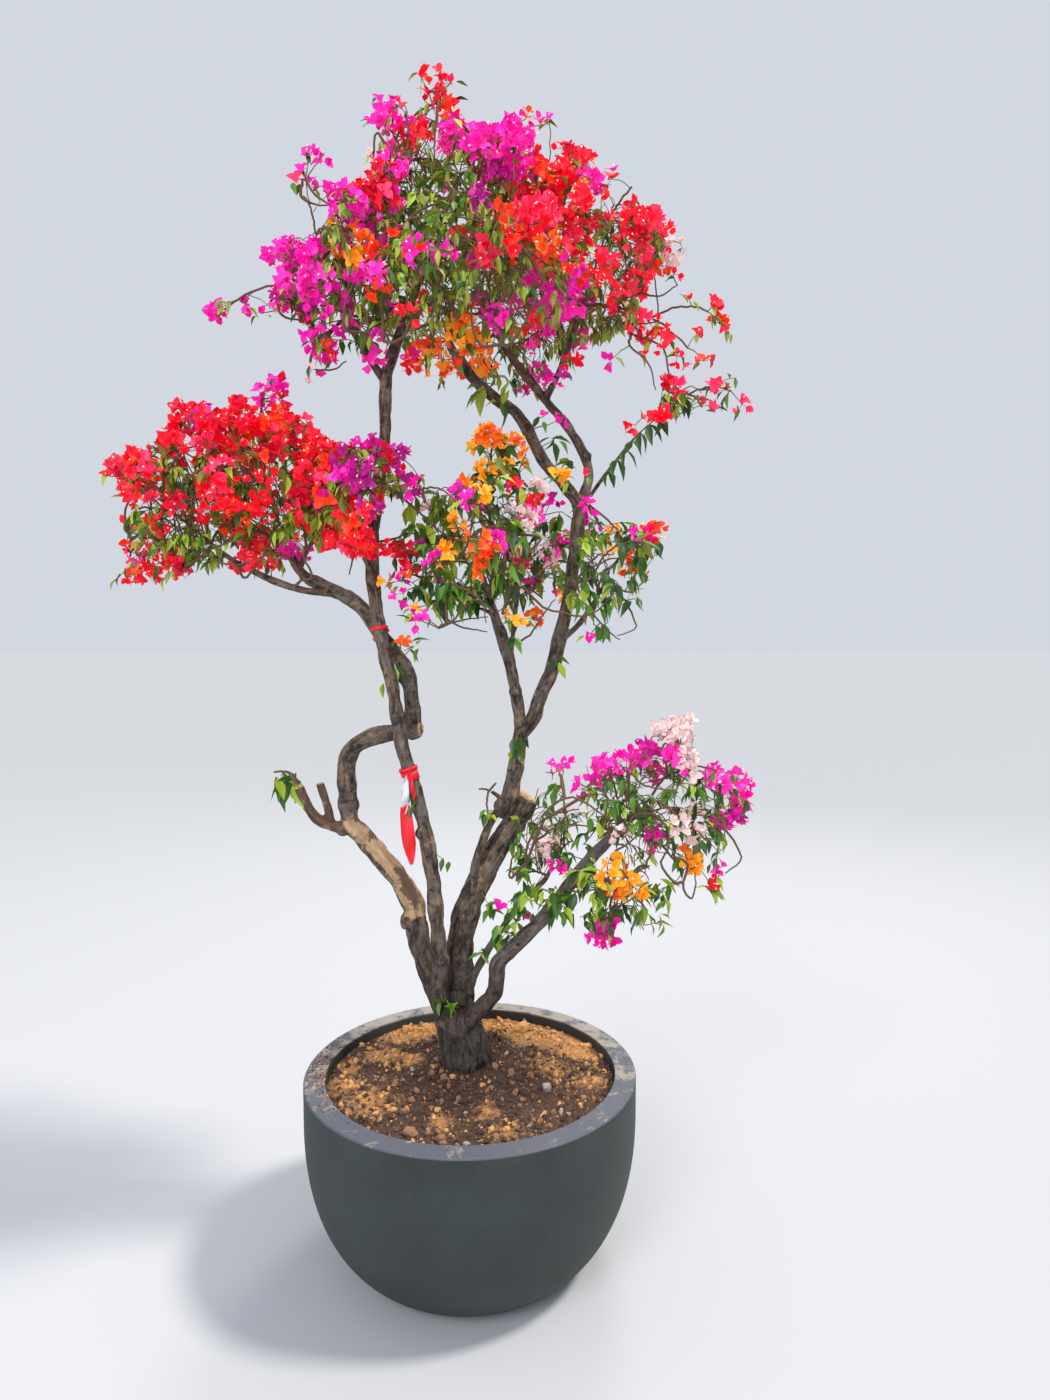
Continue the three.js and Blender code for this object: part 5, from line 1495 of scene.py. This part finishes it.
def add_spray(plant, mass, masses, start, heading, height, dice):
    """A side shoot that ends in blossom or in leaves, or stands bare inside the crown"""
    if dice.random() > openness(start):
        return
    path = spray_path(mass, start, heading, dice)
    if not path:
        return
    plant["stalks"].append(twig_run({"path": path, "ends": SPRAY_RADII}, 2, dice))
    tip, ending = path[2], bezier_heading(*path, 1)
    outer = smooth_share(*INNER, min(lobe_depth(other, tip) for other in masses))
    name, bloom = bloom_at(mass, tip, height, dice)
    flowering = dice.random() < bloom * outer
    if not flowering and dice.random() < BARE_INSIDE * (1 - outer):
        return
    if flowering:
        add_cluster(plant, mass, tip, ending, MIXES[name], dice)
    leaves = int(dice.integers(*(FLOWERING_LEAVES if flowering else LEAFY_LEAVES)))
    for i in range(leaves):
        root = bezier(*path, mix(0.15, 1, (i + dice.random()) / leaves))
        droop = LEAF_DROOP[0] + LEAF_DROOP[1] * dice.random()
        out = (unit(dice) + ending * 0.8 + Vector((0, 0, -droop))).normalized()
        size = mix(*REGIONS[mass["region"]]["size"], dice.random())
        if has_room(mass, root + out * LEAF_LENGTH * size, BLADE_EDGE):
            add_leaf(plant, mass["region"], root, out, size, dice)


def dress_twig(plant, mass, masses, twig, count, dice):
    """Sprays down a twig's outer part, and one at its end"""
    path = twig["path"]
    first = 0.5 if twig["shoot"] else 0.35
    for share in [*[mix(first, 1, (i + dice.random()) / count) for i in range(count)], 1]:
        heading = bezier_heading(*path, share)
        add_spray(plant, mass, masses, bezier(*path, share), heading, twig["height"], dice)


def grow_mass(plant, mass, masses, wood):
    dice = np.random.default_rng(mass["seed"])

    def fits(point):
        return in_own_space(mass, masses, point) and bark_distances(point, wood).min() > LIMB_CLEARANCE

    twigs = [trim_twig(twig) for twig in grow_twigs(mass, fits)]
    region, runs = REGIONS[mass["region"]], plant["twigs"][mass["region"]]
    bare = mass["name"] in TUFT_MASSES
    for twig in twigs:
        runs.append(twig_run(twig, 12, dice))
        if not bare:
            sprays = SHOOT_SPRAYS if twig["shoot"] else region["sprays"]
            dress_twig(plant, mass, masses, twig, sprays, dice)
    if bare:
        return
    for twig in grow_finer(mass, twigs, wood, dice):
        runs.append(twig_run(twig, 6, dice))
        dress_twig(plant, mass, masses, twig, region["fine_sprays"], dice)
    for twig in grow_loops(mass, twigs, dice):
        runs.append(twig_run(twig, 9, dice))


# What stands by itself


def nearest_wood(plant, wood, place):
    """The nearest point of a limb's middle or of a twig"""
    away = bark_distances(place, wood)
    twig_points = [point for runs in plant["twigs"].values() for points, _ in runs for point in points]
    twig_point = min(twig_points, key=lambda point: (point - place).length)
    return twig_point if (twig_point - place).length < away.min() else Vector(wood[0][int(away.argmin())])


def add_posy(plant, wood, place, tint, count, leaves, size, dice):
    """A tuft of leaves or a posy on a bent stalk from the nearest wood"""
    start = nearest_wood(plant, wood, place)
    path = arched(start, place, dice.random() - 0.5, mix(*POSY_ARCH, dice.random()))
    if (start - place).length > 0.008:
        plant["stalks"].append(twig_run({"path": path, "ends": STALK_RADII}, 6, dice))
    for _ in range(leaves):
        out = (unit(dice) * 0.8 + Vector((0, -0.1, -0.55))).normalized()
        root = place + unit(dice) * 0.014
        leaf_tint = choose(TUFT_SHARES, dice)
        add_leaf(plant, "crown", root, out, size * mix(0.8, 1.2, dice.random()), dice, leaf_tint)
    for index in range(count):
        away = unit(dice) if index else Vector((0, -0.6, 0.5))
        spot = place + away * CLUSTER_RADIUS * (0.65 if index else 0.1)
        kind = tint if dice.random() < 0.8 else choose(MIXES.get(tint, MIXES["scarlet"]), dice)
        axis = (away + unit(dice) * 0.3 + Vector((0, -0.3, 0))).normalized()
        add_trio(plant, place, spot, axis, kind, dice)


def add_leaf_pairs(plant, roots, dice):
    """Pairs of long dark leaves that hang from an arching shoot"""
    for root in roots:
        for side in (-1, 1):
            out = Vector((0.45 * side + 0.25, 0.35 * side - 0.2, -0.75)) + unit(dice) * 0.25
            add_leaf(plant, "crown", root, out.normalized(), mix(0.85, 1.15, dice.random()), dice, "dark")


def grow_arches(plant, wood, dice):
    """The arching twigs, each from the nearest wood"""
    shares = [i / ARCH_STEPS for i in range(ARCH_STEPS + 1)]
    for region, arches in ARCHES.items():
        for row in arches:
            back, *flat = metric(row, 100)
            points = [Vector((across, back, up)) for across, up in zip(flat[::2], flat[1::2])]
            points = [nearest_wood(plant, wood, points[0]), *points]
            path = [curve_point(points, share) + unit(dice) * 0.002 for share in shares]
            plant["twigs"][region].append((path, [mix(*ARCH_RADII, share) for share in shares]))


def dress_limbs(plant, masses, wood):
    """Tufts, posies and the arching shoot's leaves"""
    dice = np.random.default_rng(77)
    grow_arches(plant, wood, dice)
    for leaves, size, *place in TUFTS:
        add_posy(plant, wood, Vector(place), None, 0, leaves, size, dice)
    for tint, posies in POSIES.items():
        for count, *place in posies:
            leaves = int(dice.integers(*POSY_LEAVES))
            add_posy(plant, wood, Vector(place), tint, count, leaves, POSY_LEAF_SIZE, dice)
    shoot, stem = named(LIMBS, "shoot_right")["points"], named(masses, "shoot")["stem"]["path"]
    add_leaf_pairs(plant, [curve_point(shoot, share) for share in SHOOT_ROW], dice)
    add_leaf_pairs(plant, [bezier(*stem, share) for share in STEM_ROW], dice)


# Leaf, bract and flower shapes


def blade_model(rows, fold, curl, ruffle):
    """A blade along +Y from a grid: (share of the length, half width) rows, folded along its midrib"""
    sheet = add_shape(bpy.ops.mesh.primitive_grid_add, x_subdivisions=2, y_subdivisions=len(rows) - 1, size=2)
    for corner in sheet.data.vertices:
        share, half = rows[round((corner.co.y + 1) / 2 * (len(rows) - 1))]
        side = round(corner.co.x)
        wave = ruffle * math.sin(share * 9 + 2 * side) * abs(side)
        corner.co = (side * half, share, abs(side * half) * fold - curl * share * share + wave)
    return take_model(lambda: bpy.ops.mesh.remove_doubles(threshold=0.001))


def leaf_models():
    models = [blade_model(LEAF_ROWS, fold, curl, 0) for fold, curl in LEAF_FORMS]
    return [(places * LEAF_LENGTH, faces) for places, faces in models]


def trio_models():
    """Three bracts round one middle, in a few states of opening"""
    models = []
    for kind, (lean, fold, curl) in enumerate(TRIO_FORMS):
        parts, joined = [], []
        for turn in range(3):
            vary = math.sin(2.3 * turn + 1.7 * kind)
            places, faces = blade_model(BRACT_ROWS, fold, curl + 0.08 * vary, BRACT_RUFFLE)
            side, ahead, up = (places * BRACT_LENGTH * (1 + 0.08 * vary)).T
            tilt = lean + 0.22 * vary
            out = ahead * math.sin(tilt) - up * math.cos(tilt)
            rise = ahead * math.cos(tilt) + up * math.sin(tilt)
            angle = turn * 2 * math.pi / 3 + 0.3 * vary
            x = out * math.cos(angle) - side * math.sin(angle)
            y = out * math.sin(angle) + side * math.cos(angle)
            parts.append(np.stack([x, y, rise], axis=1))
            joined.append(faces + turn * len(places))
        models.append((np.concatenate(parts), np.concatenate(joined)))
    return models


def eye_model():
    """The tiny cream flower in the middle of a trio: a tube that opens into a star"""
    add_shape(bpy.ops.mesh.primitive_cone_add, vertices=5, radius1=0.0028, radius2=0.0009, depth=0.012)
    places, faces = take_model()
    places[:, 2] = 0.014 - places[:, 2]
    return [(places, faces[:, ::-1])]


def stalk_model():
    """A three-sided stalk one metre long, stretched to its place"""
    add_shape(
        bpy.ops.mesh.primitive_cone_add, vertices=3, radius1=0.0009, radius2=0.0006, depth=1,
        end_fill_type="NOTHING", location=(0, 0, 0.5),
    )
    return [take_model()]


def make_foliage():
    masses = [place_mass(mass) for mass in MASSES]
    wood = limb_points()
    plant = {
        "twigs": {region: [] for region in REGIONS}, "stalks": [], "bract_stalks": [], "eyes": [],
        "leaves": {tint: [] for tint in LEAF_TINTS}, "bracts": {tint: [] for tint in TINTS},
    }
    for mass in masses:
        grow_mass(plant, mass, masses, wood)
    dress_limbs(plant, masses, wood)
    twig_skin = plain_material("twig_bark", (98, 74, 54), 0.85)
    for region, runs in plant["twigs"].items():
        nodes = ["foliage_" + mass["name"] for mass in MASSES if mass["region"] == region]
        finish_piece(curve_piece(runs, 1), region + "_twigs", twig_skin, nodes)
    green_stalk = plain_material("young_stalk", (112, 104, 50), 0.7)
    finish_piece(curve_piece(plant["stalks"], 0), "young_stalks", green_stalk)
    finish_piece(scatter(stalk_model(), plant["bract_stalks"]), "bract_stalks", green_stalk)
    leaves, trios = leaf_models(), trio_models()
    for tint, channels in LEAF_TINTS.items():
        # The leaves' emission of 0.03 is a painted glow
        skin = plain_material(tint + "_leaf", channels, 0.45, 0.03)
        finish_piece(scatter(leaves, plant["leaves"][tint]), "leaves_" + tint, skin)
    for tint, (channels, slot) in TINTS.items():
        # The bracts' emission of 0.14 is a painted glow for the light that shines through them
        skin = plain_material(tint + "_bract", channels, 0.6, 0.14)
        finish_piece(scatter(trios, plant["bracts"][tint]), "bracts_" + tint, skin)
    cream = plain_material("cream_flower", (246, 240, 206), 0.6)
    finish_piece(scatter(eye_model(), plant["eyes"]), "flower_eyes", cream)


def stem_limb(mass):
    """A mass's stem as a limb, so that the bark runs on into it"""
    stem = mass["stem"]
    points = [tuple(bezier(*stem["path"], i / 8)) for i in range(9)]
    return {"name": "stem_" + mass["name"], "from": mass["limb"], "points": points, "radii": stem["ends"]}


def make_plant():
    limbs = LIMBS + [stem_limb(place_mass(mass)) for mass in MASSES]
    samples = {limb["name"]: limb_samples(limb) for limb in limbs}
    bark = bark_material()
    lower = [limb for limb in limbs if limb.get("from", limb["name"]) in LOWER_LIMBS]
    upper = [limb for limb in limbs if limb not in lower]
    make_bark("trunk_and_lower_boughs", lower, samples, bark)
    make_bark("upper_boughs", upper, samples, bark)
    make_ribbon(samples)
    make_foliage()


# Scene


def make_stage():
    floor = add_shape(bpy.ops.mesh.primitive_plane_add, size=400)
    floor.name = "floor"
    floor.data.materials.append(plain_material("pale_floor", (184, 187, 193), 0.95))


def add_lamp(kind, name, place, aim, power, channels, **settings):
    data = bpy.data.lights.new(name, kind)
    data.energy = power
    data.color = colour(channels)[:3]
    for setting, value in settings.items():
        setattr(data, setting, value)
    lamp = add_object(name, data)
    lamp.location = place
    lamp.rotation_euler = (Vector(aim) - Vector(place)).to_track_quat("-Z", "Y").to_euler()


def light_scene():
    world = bpy.data.worlds.new("studio")
    world.use_nodes = True
    world.node_tree.nodes["Background"].inputs["Color"].default_value = (0.86, 0.91, 1, 1)
    world.node_tree.nodes["Background"].inputs["Strength"].default_value = 0.75
    bpy.context.scene.world = world
    middle = (-0.1, 0, 1.9)
    add_lamp("SUN", "key", (4.4, -0.4, 8.5), middle, 2.8, (255, 247, 234), angle=math.radians(9))
    add_lamp("AREA", "front", (-2.0, -5.2, 4.6), (-0.1, 0, 2.3), 230, (255, 255, 255), shape="DISK", size=3.0)
    add_lamp("AREA", "back", (1.5, 4.5, 5.0), middle, 130, (255, 250, 240), shape="DISK", size=2.0)
    bpy.context.scene.view_settings.view_transform = "Standard"


def make_camera():
    data = bpy.data.cameras.new("camera")
    data.sensor_width = SENSOR
    data.lens = FOCAL_PIXELS / IMAGE_HEIGHT * SENSOR
    camera = add_object("camera", data)
    camera.location = CAMERA_PLACE
    camera.rotation_euler = (math.pi / 2 - CAMERA_TILT, 0, 0)
    bpy.context.scene.camera = camera


make_camera()
light_scene()
make_stage()
make_planter()
make_soil()
make_clods()
make_plant()
